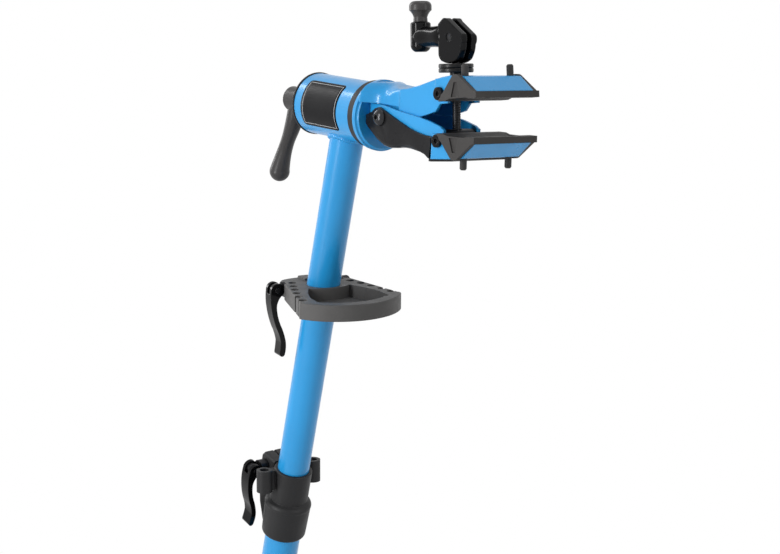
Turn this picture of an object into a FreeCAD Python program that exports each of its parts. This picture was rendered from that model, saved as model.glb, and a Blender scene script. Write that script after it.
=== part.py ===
import FreeCAD, Part
import math
import os
import Sketcher
from FreeCAD import Placement, Rotation, Vector

os.makedirs("parts", exist_ok=True)
doc = FreeCAD.newDocument("bicycle_repair_stand")
sheet = doc.addObject("Spreadsheet::Sheet", "dims")
SIZES = {}
NODES = []


class Size:
    """A number together with the words that drive it."""

    def __init__(self, value, text):
        self.value = value
        self.text = text

    def __add__(self, other):
        return combine(self, "+", other)

    def __radd__(self, other):
        return combine(other, "+", self)

    def __sub__(self, other):
        return combine(self, "-", other)

    def __rsub__(self, other):
        return combine(other, "-", self)

    def __mul__(self, other):
        return combine(self, "*", other)

    def __rmul__(self, other):
        return combine(other, "*", self)

    def __truediv__(self, other):
        return combine(self, "/", other)

    def __neg__(self):
        return combine(0, "-", self)


def as_size(item):
    return item if isinstance(item, Size) else Size(float(item), repr(float(item)))


def combine(left, sign, right):
    a = as_size(left)
    b = as_size(right)
    value = {
        "+": a.value + b.value,
        "-": a.value - b.value,
        "*": a.value * b.value,
        "/": a.value / b.value if b.value else 0.0,
    }[sign]
    return Size(value, "(%s %s %s)" % (a.text, sign, b.text))


def size(name, value):
    row = len(SIZES) + 1
    sheet.set("A%d" % row, name)
    sheet.set("B%d" % row, str(value))
    sheet.setAlias("B%d" % row, name)
    SIZES[name] = value
    return Size(float(value), "dims." + name)


# Overall stance
lean = size("mast_lean_deg", 14.65)
head_distance = size("head_distance_along_mast", 1375)
clamp_roll = size("clamp_roll_deg", 3.34)
running_gap = size("running_gap", 0.3)
pin_fit = size("pin_fit", 0.05)

# Mast
lower_radius = size("lower_tube_radius", 21.5)
lower_wall = size("lower_tube_wall", 1.7)
upper_radius = size("upper_tube_radius", 19)
upper_wall = size("upper_tube_wall", 1.8)
tube_overlap = size("tube_overlap", 200)
bush_length = size("slide_bush_length", 40)
bush_fit = size("slide_bush_fit", 0.1)
foot_radius = size("mast_foot_radius", 29)
foot_neck = size("mast_foot_neck_radius", 26)
foot_height = size("mast_foot_height", 46)
foot_floor = size("mast_foot_floor_thickness", 9)

# Height collar
collar_bottom = size("collar_bottom", 822)
collar_step = size("collar_step", 869)
collar_top = size("collar_top", 913)
collar_radius = size("collar_radius", 28)
collar_neck_radius = size("collar_neck_radius", 23)
collar_split = size("collar_split", 3)
socket_radius = size("socket_radius", 9.5)
socket_bore = size("socket_bore_radius", 5.5)
socket_height = size("socket_height", 27)
socket_spread = size("socket_spread", 35)
socket_back = size("socket_back", 11)
socket_top = size("socket_top", 885.3)

# Quick release
skewer_radius = size("skewer_radius", 3)
skewer_nut_radius = size("skewer_nut_radius", 8)
skewer_nut_length = size("skewer_nut_length", 9)
cam_radius = size("release_cam_radius", 8.2)
cam_width = size("release_cam_width", 16)
cam_eye_width = size("release_eye_width", 6.8)
cam_eye_radius = size("release_eye_radius", 6)
lever_length = size("release_lever_length", 79)
release_washer = size("release_washer_thickness", 2)
height_lug_half = size("height_lug_half", 14.5)
height_cup = size("height_release_cup_thickness", 10.5)
tray_lug_half = size("tray_lug_half", 36.6)
leg_lug_half = size("leg_lug_half", 13)

# Barrel
barrel_radius = size("barrel_radius", 34)
barrel_wall = size("barrel_wall", 3.5)
barrel_back = size("barrel_back", 63.5)
barrel_front = size("barrel_front", 41)
cap_thickness = size("rear_cap_thickness", 3)
cap_plug = size("rear_cap_plug", 12)
ring_radius = size("front_bush_radius", 36.6)
ring_width = size("front_bush_width", 12.2)
spindle_radius = size("spindle_radius", 13)
stud_radius = size("lock_stud_radius", 6)

# Lock handle
hub_radius = size("lock_hub_radius", 14.3)
hub_back = size("lock_hub_back", 118)

# Clamp head, in its own frame: x forward, z up, centred on the barrel's axis
flange_radius = size("flange_radius", 38.6)
flange_thickness = size("flange_thickness", 8.2)
pivot_x = size("jaw_pivot_x", 87.5)
pivot_z = size("jaw_pivot_z", 2)
pivot_bolt_radius = size("jaw_pivot_bolt_radius", 5)
steel = size("jaw_steel_thickness", 3)
arm_half = size("upper_arm_half_width", 21)
side_gap = size("jaw_side_gap", 0.4)
jaw_half = size("jaw_half_width", 37)
tongue_end = size("tongue_end_radius", 12.5)

# Jaw covers, in a frame on the gripping plane: s forward, n away from the gap
cover_half = size("cover_half_length", 41.5)
cover_front = size("cover_front", 28)
cover_rear = size("cover_rear", 31)
rail_height = size("cover_rail_height", 6.6)
groove_depth = size("cover_groove_depth", 4)
apex_height = size("jaw_apex_height", 24)
recess_depth = size("tab_recess_depth", 1.4)
peg_radius = size("peg_radius", 3.6)
peg_spread = size("peg_spread", 29.5)
peg_reach = size("peg_reach", 11)
cover_screw_radius = size("cover_screw_radius", 3)
cover_boss = size("cover_boss_radius", 4.6)
head_rear = size("jaw_head_rear", 189.5)
cover_screw_head = size("cover_screw_head_radius", 6.6)
cover_screw_height = size("cover_screw_head_height", 3.6)
cover_screw_s = size("cover_screw_s", -33.4)
cover_screw_n = size("cover_screw_n", 8)
upper_grip_x = size("upper_grip_x", 232.7)
upper_grip_z = size("upper_grip_z", 36.2)
upper_grip_tilt = size("upper_grip_tilt_deg", 9.5)
lower_grip_x = size("lower_grip_x", 233)
lower_grip_z = size("lower_grip_z", 0.5)
lower_grip_tilt = size("lower_grip_tilt_deg", 2.6)

# Clamp rod
rod_radius = size("rod_radius", 4)
seat_x = size("rod_seat_x", 177.8)
seat_z = size("rod_seat_z", 50)
rod_foot_x = size("rod_foot_x", 183.4)
nut_drop = size("barrel_nut_drop", 7)
nut_radius = size("barrel_nut_radius", 7.5)
nut_bore = size("barrel_nut_bore_radius", 5)
ball_radius = size("seat_ball_radius", 6.5)
washer_radius = size("washer_radius", 18)
washer_bottom = size("washer_bottom", 7.6)
washer_thickness = size("washer_thickness", 4.5)
rod_tail = size("rod_tail", 78)
cam_pin_height = size("cam_pin_height", 44)
cam_pin_radius = size("cam_pin_radius", 4)
plate_inner = size("cam_plate_inner", 3)
plate_outer = size("cam_plate_outer", 10)
arm_radius = size("cam_arm_radius", 11.5)
boss_reach = size("cam_boss_reach", 58)
boss_radius = size("cam_boss_radius", 10.7)
boss_top = size("cam_boss_top", 17)
boss_bottom = size("cam_boss_bottom", 14)
knob_height = size("knob_height", 21.8)
knob_radius = size("knob_radius", 11.8)
knob_neck = size("knob_neck_radius", 7.6)
knob_stud = size("knob_stud_radius", 3)

# Tray
tray_drop = size("tray_drop_below_head", 207.4)
tray_turn = size("tray_turn_deg", -10.5)
tray_height = size("tray_height", 18.5)
well_depth = size("tray_well_depth", 14.5)
tray_front = size("tray_front", 110)
tray_corner_x = size("tray_corner_x", 77)
tray_corner_y = size("tray_corner_y", 62)
well_front = size("tray_well_front", 96)
well_corner_x = size("tray_well_corner_x", 83.5)
well_corner_y = size("tray_well_corner_y", 38)
tool_hole = size("tool_hole_radius", 4.7)
tray_skewer_x = size("tray_skewer_x", -31)
tray_skewer_z = size("tray_skewer_z", -8.6)

# Base
leg_azimuth = size("leg_azimuth_deg", 38)
leg_collar_at = size("leg_collar_at", 540)
leg_collar_radius = size("leg_collar_radius", 27)
leg_collar_height = size("leg_collar_height", 50)
leg_pivot_out = size("leg_pivot_out", 42)
leg_angle = size("leg_angle_deg", 66)
leg_radius = size("leg_radius", 14.3)
leg_wall = size("leg_wall", 1.5)
leg_ear = size("leg_ear_thickness", 4.4)
leg_ear_radius = size("leg_ear_radius", 13)
leg_bolt_radius = size("leg_bolt_radius", 4)
brace_at = size("brace_at_along_leg", 240)
brace_width = size("brace_width", 22)
brace_thickness = size("brace_thickness", 4)
brace_layer = leg_radius + size("brace_clearance", 1.7)
bracket_at = size("bracket_at", 120)
bracket_out = size("bracket_pivot_out", 34)
bracket_height = size("bracket_height", 44)
bracket_radius = size("bracket_radius", 25.5)
bracket_ear = size("bracket_ear_thickness", 4)
leg_foot_radius = size("leg_foot_radius", 18)

# Frames: the origin is where the mast's axis meets the floor
X = Vector(1, 0, 0)
Y = Vector(0, 1, 0)
Z = Vector(0, 0, 1)
mast = Placement(Vector(), Rotation(Y, lean.value))
head_point = mast.multVec(Vector(0, 0, head_distance.value))
barrel_frame = Placement(head_point, Rotation())
head = Placement(head_point, Rotation(X, -clamp_roll.value))


def turned(parent, point, axis=Z, angle=0.0):
    return parent.multiply(Placement(point, Rotation(axis, angle)))


upper_grip = turned(head, Vector(upper_grip_x.value, 0, upper_grip_z.value), Y, -upper_grip_tilt.value)
lower_grip = turned(head, Vector(lower_grip_x.value, 0, lower_grip_z.value), Y, -lower_grip_tilt.value)
lower_grip = turned(lower_grip, Vector(), X, 180)
rod_lean = math.degrees(math.atan2(seat_x.value - rod_foot_x.value, seat_z.value))
rod_frame = turned(head, Vector(seat_x.value, 0, seat_z.value), Y, rod_lean)
nut_x = rod_foot_x + nut_drop * (rod_foot_x - seat_x) / seat_z
nut_frame = turned(head, Vector(nut_x.value, 0, -nut_drop.value), Y, rod_lean)
lever_frame = turned(rod_frame, Vector(0, 0, cam_pin_height.value))
tray_level = head_point.z - tray_drop.value
tray_point = Vector(tray_level * math.tan(math.radians(lean.value)), 0, tray_level)
tray_frame = turned(Placement(), tray_point, Z, tray_turn.value)


# Drawing helpers
def new_body(label):
    made = doc.addObject("PartDesign::Body", label)
    made.Label = label
    return made


def new_sketch(body, role, offset=0):
    drawing = body.newObject("Sketcher::SketchObject", body.Name + "_sketch")
    plane = [item for item in body.Origin.OriginFeatures if item.Role == role][0]
    drawing.AttachmentSupport = [(plane, "")]
    drawing.MapMode = "FlatFace"
    lift = as_size(offset)
    drawing.AttachmentOffset = Placement(Vector(0, 0, lift.value), Rotation())
    if isinstance(offset, Size):
        drawing.setExpression("AttachmentOffset.Base.z", lift.text)
    return drawing


def hold(drawing, wanted):
    """Adds constraints in one go and ties each one that has a size to its words."""
    rules = [
        Sketcher.Constraint(kind, *where) if item is None else Sketcher.Constraint(kind, *where, item.value)
        for kind, where, item in wanted
    ]
    numbers = drawing.addConstraint(rules)
    for number, (kind, where, item) in zip(numbers, wanted):
        if item is not None:
            drawing.setExpression("Constraints[%d]" % number, item.text)


def circle(drawing, x, y, radius):
    x, y, radius = as_size(x), as_size(y), as_size(radius)
    ring = Part.Circle(Vector(x.value, y.value, 0), Z, radius.value)
    number = drawing.addGeometry(ring, False)
    hold(drawing, [
        ("Radius", (number,), radius),
        ("DistanceX", (-1, 1, number, 3), x),
        ("DistanceY", (-1, 1, number, 3), y),
    ])


def arc_between(start, end, radius):
    """The short arc of this radius; positive bulges to the right of the way round."""
    chord = end - start
    half = chord.Length / 2
    reach = max(abs(radius), half)
    rise = reach - math.sqrt(max(reach * reach - half * half, 0.0))
    side = Vector(chord.y, -chord.x, 0).normalize()
    middle = (start + end) * 0.5 + side * math.copysign(rise, radius)
    return Part.Arc(start, middle, end) if radius > 0 else Part.Arc(end, middle, start)


def outline(drawing, points, arcs=None):
    """A closed outline; arcs gives the radius of the side that starts at a numbered point."""
    arcs = arcs or {}
    corners = [(as_size(x), as_size(y)) for x, y in points]
    spots = [Vector(x.value, y.value, 0) for x, y in corners]
    ends = []
    wanted = []
    for index, start in enumerate(spots):
        end = spots[(index + 1) % len(spots)]
        if index in arcs:
            bend = as_size(arcs[index])
            number = drawing.addGeometry(arc_between(start, end, bend.value), False)
            ends.append((number, 1, 2) if bend.value > 0 else (number, 2, 1))
            wanted.append(("Radius", (number,), Size(abs(bend.value), "abs(%s)" % bend.text)))
        else:
            number = drawing.addGeometry(Part.LineSegment(start, end), False)
            ends.append((number, 1, 2))
    for index, (x, y) in enumerate(corners):
        before = ends[index - 1]
        after = ends[index]
        wanted.append(("Coincident", (before[0], before[2], after[0], after[1]), None))
        wanted.append(("DistanceX", (-1, 1, after[0], after[1]), x))
        wanted.append(("DistanceY", (-1, 1, after[0], after[1]), y))
    hold(drawing, wanted)


def half_round(radius):
    """A half circle's radius, with the least room that the sketch needs."""
    return as_size(radius) + 0.001


def pad(body, drawing, length, both=False, back=False):
    feature = body.newObject("PartDesign::Pad", body.Name + "_pad")
    feature.Profile = drawing
    length = as_size(length)
    feature.Length = length.value
    feature.setExpression("Length", length.text)
    feature.SideType = "Symmetric" if both else "One side"
    feature.Reversed = back
    return feature


def pocket(body, drawing, length=None, both=True, back=False):
    doc.recompute()
    before = body.Tip.Shape.Volume
    feature = body.newObject("PartDesign::Pocket", body.Name + "_pocket")
    feature.Profile = drawing
    if length is None:
        feature.Type = "ThroughAll"
        feature.SideType = "Symmetric" if both else "One side"
    else:
        length = as_size(length)
        feature.Length = length.value
        feature.setExpression("Length", length.text)
    feature.Reversed = back
    doc.recompute()
    if feature.Shape.Volume >= before - 0.01:
        raise ValueError("nothing was cut from " + body.Label)
    return feature


def revolve(body, drawing, axis="V_Axis"):
    feature = body.newObject("PartDesign::Revolution", body.Name + "_turned")
    feature.Profile = drawing
    feature.ReferenceAxis = (drawing, [axis])
    feature.Angle = 360
    return feature


def soften(body, radius, wanted, kind="PartDesign::Fillet"):
    """Rounds or chamfers the edges for which wanted is true."""
    doc.recompute()
    base = body.Tip
    names = [
        "Edge%d" % (index + 1)
        for index, edge in enumerate(base.Shape.Edges)
        if wanted(edge)
    ]
    if not names:
        raise ValueError("no edge to soften on " + body.Label)
    feature = body.newObject(kind, body.Name + "_soft")
    feature.Base = (base, names)
    radius = as_size(radius)
    if kind == "PartDesign::Fillet":
        feature.Radius = radius.value
        feature.setExpression("Radius", radius.text)
    else:
        feature.Size = radius.value
        feature.setExpression("Size", radius.text)
    return feature


def rim(x=None, y=None, z=None, tolerance=0.05):
    """Picks the curved or straight edges that lie in one plane."""

    def wanted(edge):
        box = edge.BoundBox
        ok = True
        if x is not None:
            ok = ok and abs(box.XMin - x) < tolerance and abs(box.XMax - x) < tolerance
        if y is not None:
            ok = ok and abs(box.YMin - y) < tolerance and abs(box.YMax - y) < tolerance
        if z is not None:
            ok = ok and abs(box.ZMin - z) < tolerance and abs(box.ZMax - z) < tolerance
        return ok

    return wanted


def ring_body(label, inner, outer, bottom, length):
    made = new_body(label)
    drawing = new_sketch(made, "XY_Plane", bottom)
    circle(drawing, 0, 0, outer)
    circle(drawing, 0, 0, inner)
    pad(made, drawing, length)
    return made


def turned_body(label, points, arcs=None, role="XZ_Plane", axis="V_Axis"):
    made = new_body(label)
    drawing = new_sketch(made, role)
    outline(drawing, points, arcs)
    revolve(made, drawing, axis)
    return made


def plate_body(label, points, thickness, arcs=None, holes=(), offset=0, both=False, back=False, role="XZ_Plane"):
    made = new_body(label)
    drawing = new_sketch(made, role, offset)
    outline(drawing, points, arcs)
    for x, y, radius in holes:
        circle(drawing, x, y, radius)
    pad(made, drawing, thickness, both, back)
    return made


def cylinder(label, frame, start, radius, length, along=Z):
    """A round bar along x, y or z of a frame, from a start point in that frame."""
    made = doc.addObject("Part::Cylinder", label)
    radius, length = as_size(radius), as_size(length)
    made.Radius = radius.value
    made.Height = length.value
    made.setExpression("Radius", radius.text)
    made.setExpression("Height", length.text)
    made.Placement = frame.multiply(Placement(start, Rotation(Z, along)))
    return made


def block(label, frame, low, high):
    made = doc.addObject("Part::Box", label)
    for name, a, b in zip(("Length", "Width", "Height"), low, high):
        span = as_size(b) - as_size(a)
        setattr(made, name, span.value)
        made.setExpression(name, span.text)
    corner = Vector(*[as_size(item).value for item in low])
    made.Placement = frame.multiply(Placement(corner, Rotation()))
    return made


def joined(label, shapes):
    made = doc.addObject("Part::MultiFuse", label)
    made.Shapes = shapes
    return made


def cut(label, base, tool):
    made = doc.addObject("Part::Cut", label)
    made.Base = base
    made.Tool = tool
    return made


def freeform(label, shape, frame):
    made = doc.addObject("Part::Feature", label)
    made.Shape = shape
    made.Placement = frame
    return made


def node(made, label, frame=None):
    made.Label = label
    if frame is not None:
        made.Placement = frame
    NODES.append(made)
    return made


# Lower mast
lower_tube = ring_body(
    "lower_tube_body", lower_radius - lower_wall, lower_radius, foot_floor, collar_step - 3 - foot_floor
)
node(lower_tube, "lower_tube", mast)

foot_blank = turned_body(
    "mast_foot_blank",
    [
        (0, -10),
        (foot_radius, -10),
        (foot_radius, 8),
        (foot_neck, 16),
        (foot_neck, foot_height - 2),
        (foot_neck - 2, foot_height),
        (lower_radius, foot_height),
        (lower_radius, foot_floor),
        (0, foot_floor),
    ],
)
foot_blank.Placement = mast
floor_cut = block("mast_foot_floor", Placement(), (-60, -60, -60), (60, 60, 0))
node(cut("mast_foot_cut", foot_blank, floor_cut), "mast_foot")


# Skewers and quick-release levers: x is the lever's hinge, -y points out, the closed lever hangs along -z
def arc_face(points):
    """A face bounded by arcs, each through three points in a row; the last closes on the first."""
    spots = [Vector(0, y, z) for y, z in points]
    spots.append(spots[0])
    arcs = [Part.Arc(*spots[index:index + 3]).toShape() for index in range(0, len(points), 2)]
    return Part.Face(Part.Wire(arcs))


def release_lever(label, frame):
    drop = lever_length.value / 76.5
    hub = cam_radius.value
    root = (0.61 * hub, -math.sqrt(1 - 0.61 ** 2) * hub)
    paddle = [
        (-hub, 0),
        (-8.8, -9 * drop),
        (-7.9, -20 * drop),
        (-5.5, -32 * drop),
        (-1.5, -44 * drop),
        (2.0, -53 * drop),
        (3.5, -60 * drop),
        (2.8, -67 * drop),
        (1.8, -73 * drop),
        (4.4, -76.5 * drop),
        (8.4, -74 * drop),
        (9.8, -66 * drop),
        (9.4, -58 * drop),
        (7.0, -49 * drop),
        (3.4, -40 * drop),
        (0.4, -31 * drop),
        (-1.2, -20 * drop),
        (0.6, -12 * drop),
        root,
        (0, hub),
    ]
    width = cam_width.value
    shape = arc_face(paddle).extrude(Vector(width, 0, 0))
    shape.translate(Vector(-width / 2, 0, 0))
    slot = cam_eye_width.value / 2 + running_gap.value
    shape = shape.cut(Part.makeCylinder(hub + 1.2, 2 * slot, Vector(-slot, 0, 0), X))
    pin_hole = Part.makeCylinder(skewer_radius.value + pin_fit.value, width + 2, Vector(-width / 2 - 1, 0, 0), X)
    return node(freeform(label + "_shape", shape.cut(pin_hole), frame), label)


def release_frame(parent, lug_half, washer=release_washer):
    """The lever's hinge, outside the near lug."""
    return turned(parent, Vector(0, -(lug_half + washer + running_gap + cam_radius).value, 0))


def release_skewer(label, frame, lug_half, washer=release_washer):
    """Eye and pin at the lever, the rod across the lugs and the nut on the far side."""
    seat = cam_radius + running_gap
    reach = 2 * lug_half + washer + seat
    rod = cylinder(label + "_rod", frame, Vector(0, 4, 0), skewer_radius, reach - 3, Y)
    eye = cylinder(label + "_eye", frame, Vector(-cam_eye_width.value / 2, 0, 0), cam_eye_radius, cam_eye_width, X)
    pin = cylinder(label + "_pin", frame, Vector(-cam_width.value / 2 - 0.5, 0, 0), skewer_radius, cam_width + 1, X)
    nut = cylinder(label + "_nut", frame, Vector(0, reach.value, 0), skewer_nut_radius, skewer_nut_length, Y)
    cup = cylinder(label + "_washer", frame, Vector(0, seat.value, 0), cam_radius + 0.5, washer, Y)
    return node(joined(label + "_parts", [rod, eye, pin, nut, cup]), label)


# Height collar with split lugs at the back and two upright accessory sockets
collar_bore = upper_radius + running_gap
collar_blank = turned_body(
    "collar_blank",
    [
        (lower_radius, collar_bottom),
        (collar_radius - 4.5, collar_bottom),
        (collar_radius - 1.2, collar_bottom + 5),
        (collar_radius, collar_step - 6),
        (collar_radius - 2.6, collar_step + 1.5),
        (collar_neck_radius, collar_step + 3),
        (collar_neck_radius, collar_top - 1),
        (collar_neck_radius - 1, collar_top),
        (collar_bore, collar_top),
        (collar_bore, collar_step - 3),
        (lower_radius, collar_step - 3),
    ],
    {1: 5.5, 3: 6},
)
collar_blank.Placement = mast
collar_lugs = []
half_split = collar_split / 2
for side in (-1, 1):
    lug = plate_body(
        "collar_lug_%s" % ("near" if side < 0 else "far"),
        [
            (-collar_bore - 1, collar_top + 1),
            (-44, collar_top + 1),
            (-48, collar_top - 4),
            (-48, collar_top - 34),
            (-39, collar_top - 66),
            (-26.5, collar_top - 88),
            (-24.5, collar_top - 88),
            (-24.5, collar_step),
            (-collar_bore - 1, collar_step + 3),
        ],
        height_lug_half - half_split,
        offset=half_split if side < 0 else -half_split,
        back=side > 0,
    )
    soften(lug, 3, lambda edge, face=side * height_lug_half.value: (
        abs(edge.BoundBox.YMin - face) < 0.05 and abs(edge.BoundBox.YMax - face) < 0.05 and edge.BoundBox.XMin < -30
    ))
    lug.Placement = mast
    collar_lugs.append(lug)
sockets = []
socket_holes = []
socket_x = socket_top.value * math.tan(math.radians(lean.value)) - socket_back.value
for side in (-1, 1):
    foot = Vector(socket_x, side * socket_spread.value, socket_top.value - socket_height.value)
    sockets.append(cylinder("socket_%d" % (side + 1), Placement(), foot, socket_radius, socket_height))
    socket_holes.append(
        cylinder("socket_hole_%d" % (side + 1), Placement(), foot + Vector(0, 0, 3), socket_bore, socket_height)
    )
    web_low = (socket_x - 6, min(side * 14, side * socket_spread.value), foot.z + 1.5)
    web_high = (socket_x + 6, max(side * 14, side * socket_spread.value), foot.z + socket_height.value - 1.5)
    sockets.append(block("socket_web_%d" % (side + 1), Placement(), web_low, web_high))
collar_solid = joined("collar_solid", [collar_blank] + collar_lugs + sockets)
tube_bore = cylinder("collar_tube_bore", mast, Vector(0, 0, collar_step.value - 3), collar_bore, 80)
lower_bore = cylinder("collar_lower_bore", mast, Vector(0, 0, collar_bottom.value - 5), lower_radius, 52)
split_cut = block("collar_split_cut", mast, (-60, -half_split, collar_step.value - 60), (-10, half_split, collar_top.value + 9))
release_height = turned(mast, Vector(-37, 0, collar_top.value - 14))
skewer_bore = skewer_radius + running_gap
release_hole = cylinder("collar_skewer_hole", release_height, Vector(0, -40, 0), skewer_bore, 80, Y)
collar_voids = joined("collar_voids", [tube_bore, lower_bore, split_cut, release_hole] + socket_holes)
node(cut("collar_cut", collar_solid, collar_voids), "height_collar")
height_release = release_frame(release_height, height_lug_half, height_cup)
release_skewer("height_skewer", height_release, height_lug_half, height_cup)
release_lever("height_lever", height_release)

# Upper mast
upper_blank = ring_body(
    "upper_tube_blank", upper_radius - upper_wall, upper_radius, collar_top - tube_overlap,
    head_distance - 8 - (collar_top - tube_overlap),
)
upper_blank.Placement = mast
cope = cylinder("barrel_cope", barrel_frame, Vector(-100, 0, 0), barrel_radius, 200, X)
node(cut("upper_tube_cut", upper_blank, cope), "upper_tube")
bush_outer = lower_radius - lower_wall - bush_fit
slide_bush = ring_body("slide_bush_body", upper_radius, bush_outer, collar_top - tube_overlap, bush_length)
node(slide_bush, "slide_bush", mast)

# Barrel with its cap and bush
barrel_bore = barrel_radius - barrel_wall
barrel = turned_body(
    "barrel_body",
    [
        (-barrel_back, barrel_bore),
        (-barrel_back, barrel_radius - 0.8),
        (-barrel_back + 0.8, barrel_radius),
        (barrel_front - 0.8, barrel_radius),
        (barrel_front, barrel_radius - 0.8),
        (barrel_front, barrel_bore),
    ],
    axis="H_Axis",
)
node(barrel, "barrel", barrel_frame)
cap_back = -barrel_back - cap_thickness
rear_cap = turned_body(
    "rear_cap_body",
    [
        (cap_back, stud_radius + 0.4),
        (cap_back, barrel_radius - 3.4),
        (cap_back + 1.2, barrel_radius - 1),
        (-barrel_back, barrel_radius - 0.4),
        (-barrel_back, barrel_bore),
        (-barrel_back + cap_plug, barrel_bore),
        (-barrel_back + cap_plug, spindle_radius + pin_fit),
        (-barrel_back + 4, spindle_radius + pin_fit),
        (-barrel_back + 4, stud_radius + 0.4),
    ],
    axis="H_Axis",
)
node(rear_cap, "rear_cap", barrel_frame)
ring_front = barrel_front + ring_width
front_bush = turned_body(
    "front_bush_body",
    [
        (barrel_front - 15, spindle_radius + pin_fit),
        (barrel_front - 15, barrel_bore),
        (barrel_front, barrel_bore),
        (barrel_front, ring_radius - 1),
        (barrel_front + 1, ring_radius),
        (ring_front - 1, ring_radius),
        (ring_front, ring_radius - 1),
        (ring_front, spindle_radius + pin_fit),
    ],
    axis="H_Axis",
)
node(front_bush, "front_bush", barrel_frame)

# Lock handle: hub, curved lever and bulb in one moulding
hub_front = (cap_back - running_gap).value
lever_path = [
    (-106, 0, 9.5),
    (-110.5, -18, 9.8),
    (-117, -34, 9.3),
    (-124, -46.5, 8.3),
    (-130.8, -59, 8.4),
    (-137.8, -73.5, 9.8),
    (-143.6, -88.5, 11.8),
]
sections = []
for index, (x, z, radius) in enumerate(lever_path):
    before = lever_path[max(index - 1, 0)]
    after = lever_path[min(index + 1, len(lever_path) - 1)]
    along = Vector(after[0] - before[0], 0, after[1] - before[1]).normalize()
    sections.append(Part.Wire(Part.Circle(Vector(x, 0, z), along, radius).toShape()))
handle_arm = Part.makeLoft(sections, True, False)
bulb_x, bulb_z, bulb_radius = lever_path[-1]
bulb = Part.makeSphere(bulb_radius + 0.05, Vector(bulb_x, 0, bulb_z))
hub_face = Part.makePolygon([
    Vector(-hub_back.value, 0, 0),
    Vector(-hub_back.value, 0, hub_radius.value - 3),
    Vector(-hub_back.value + 3, 0, hub_radius.value),
    Vector(-hub_back.value + 24, 0, hub_radius.value - 0.8),
    Vector(hub_front, 0, hub_radius.value - 2.8),
    Vector(hub_front, 0, 0),
    Vector(-hub_back.value, 0, 0),
])
hub = Part.Face(hub_face).revolve(Vector(), X, 360)
hub_bore = Part.makeCylinder(stud_radius.value + pin_fit.value, 34, Vector(hub_front - 33, 0, 0), X)
lock_shape = hub.fuse([handle_arm, bulb]).removeSplitter().cut(hub_bore)
node(freeform("lock_handle_shape", lock_shape, barrel_frame), "lock_handle")

# Clamp head casting
flange_back = ring_front + running_gap
flange_front = flange_back + flange_thickness
flange = turned_body(
    "flange_blank",
    [
        (flange_back, 0),
        (flange_back, flange_radius),
        (flange_front - 3, flange_radius),
        (flange_front, flange_radius - 3),
        (flange_front, 0),
    ],
    {2: 3},
    axis="H_Axis",
)
flange.Placement = head
ear_half = arm_half + side_gap
lower_half = ear_half + steel
handle_half = lower_half + steel
tongue = plate_body(
    "tongue_blank",
    [
        (flange_front - 2, pivot_z - tongue_end - 2),
        (pivot_x, pivot_z - tongue_end),
        (pivot_x + tongue_end, pivot_z),
        (pivot_x, pivot_z + tongue_end),
        (flange_front - 2, pivot_z + tongue_end),
    ],
    2 * arm_half,
    arcs={1: tongue_end, 2: tongue_end},
    both=True,
)
tongue.Placement = head
neck_floor = pivot_z + tongue_end + 1
neck_end = size("neck_end", 112)


def neck_section(x, half, top, corner):
    """One cross-section of the neck: flat below, upright sides and rounded shoulders."""
    floor = neck_floor.value
    turn = corner * (1 - math.sqrt(0.5))
    low_near = Vector(x, -half, floor)
    low_far = Vector(x, half, floor)
    near = Vector(x, -half, top - corner)
    far = Vector(x, half, top - corner)
    top_near = Vector(x, -half + corner, top)
    top_far = Vector(x, half - corner, top)
    near_bend = Part.Arc(near, Vector(x, -half + turn, top - turn), top_near)
    far_bend = Part.Arc(top_far, Vector(x, half - turn, top - turn), far)
    return Part.Wire([
        Part.LineSegment(low_near, near).toShape(),
        near_bend.toShape(),
        Part.LineSegment(top_near, top_far).toShape(),
        far_bend.toShape(),
        Part.LineSegment(far, low_far).toShape(),
        Part.LineSegment(low_far, low_near).toShape(),
    ])


# The neck is wide and round at the flange, narrow in the middle and square where the steel jaw takes over
wide = flange_radius.value - 2.6
narrow = arm_half.value
neck_rows = [
    (flange_front.value - 1, wide, 36.6, 20.0),
    (flange_front.value + 4, wide - 4.5, 37.2, 20.0),
    (74, narrow + 3.6, 37.4, 19.8),
    (84, narrow, 36.7, 18.5),
    (93, narrow, 35.4, 13.0),
    (102, narrow, 34.4, 7.0),
    (neck_end.value, narrow, 34.0, 2.0),
]
neck_shape = Part.makeLoft([neck_section(*row) for row in neck_rows], True, False)
neck = freeform("neck_shape", neck_shape, head)
throat = plate_body(
    "throat_blank",
    [
        (flange_front - 2, pivot_z),
        (pivot_x + 2, pivot_z),
        (neck_end - 6, pivot_z + 7.4),
        (neck_end, pivot_z + 7.4),
        (neck_end, neck_floor + 1),
        (flange_front - 2, neck_floor + 1),
    ],
    2 * (arm_half - steel),
    both=True,
)
throat.Placement = head
pivot_bore = cylinder(
    "casting_pivot_bore", head, Vector(pivot_x.value, -arm_half.value - 1, pivot_z.value), pivot_bolt_radius,
    2 * arm_half + 2, Y,
)
casting_parts = joined("head_casting_parts", [flange, tongue, neck, throat])
node(cut("head_casting_cut", casting_parts, pivot_bore), "head_casting")

spindle = turned_body(
    "spindle_body",
    [
        (-hub_back + 20, 0),
        (-hub_back + 20, stud_radius - 1),
        (-hub_back + 21, stud_radius),
        (-barrel_back + 5, stud_radius),
        (-barrel_back + 5, spindle_radius),
        (flange_back, spindle_radius),
        (flange_back, 0),
    ],
    axis="H_Axis",
)
node(spindle, "head_spindle", head)


# Jaw channels are cut from a side view and a plan view
def channel(label, side_view, plan_view, half_width, arcs=None):
    """side_view runs in x and z; plan_view lists (x, half width) from back to front."""
    made = plate_body(label, side_view, 2 * as_size(half_width), arcs=arcs, both=True)
    doc.recompute()
    drawing = new_sketch(made, "XY_Plane")
    first_x, first_half = plan_view[0]
    last_x, last_half = plan_view[-1]
    for side in (1, -1):
        away = side * 90
        points = [(x, as_size(half) * side) for x, half in plan_view]
        points = points + [(last_x, away), (first_x, away)]
        outline(drawing, points)
    pocket(made, drawing)
    return made


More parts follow.
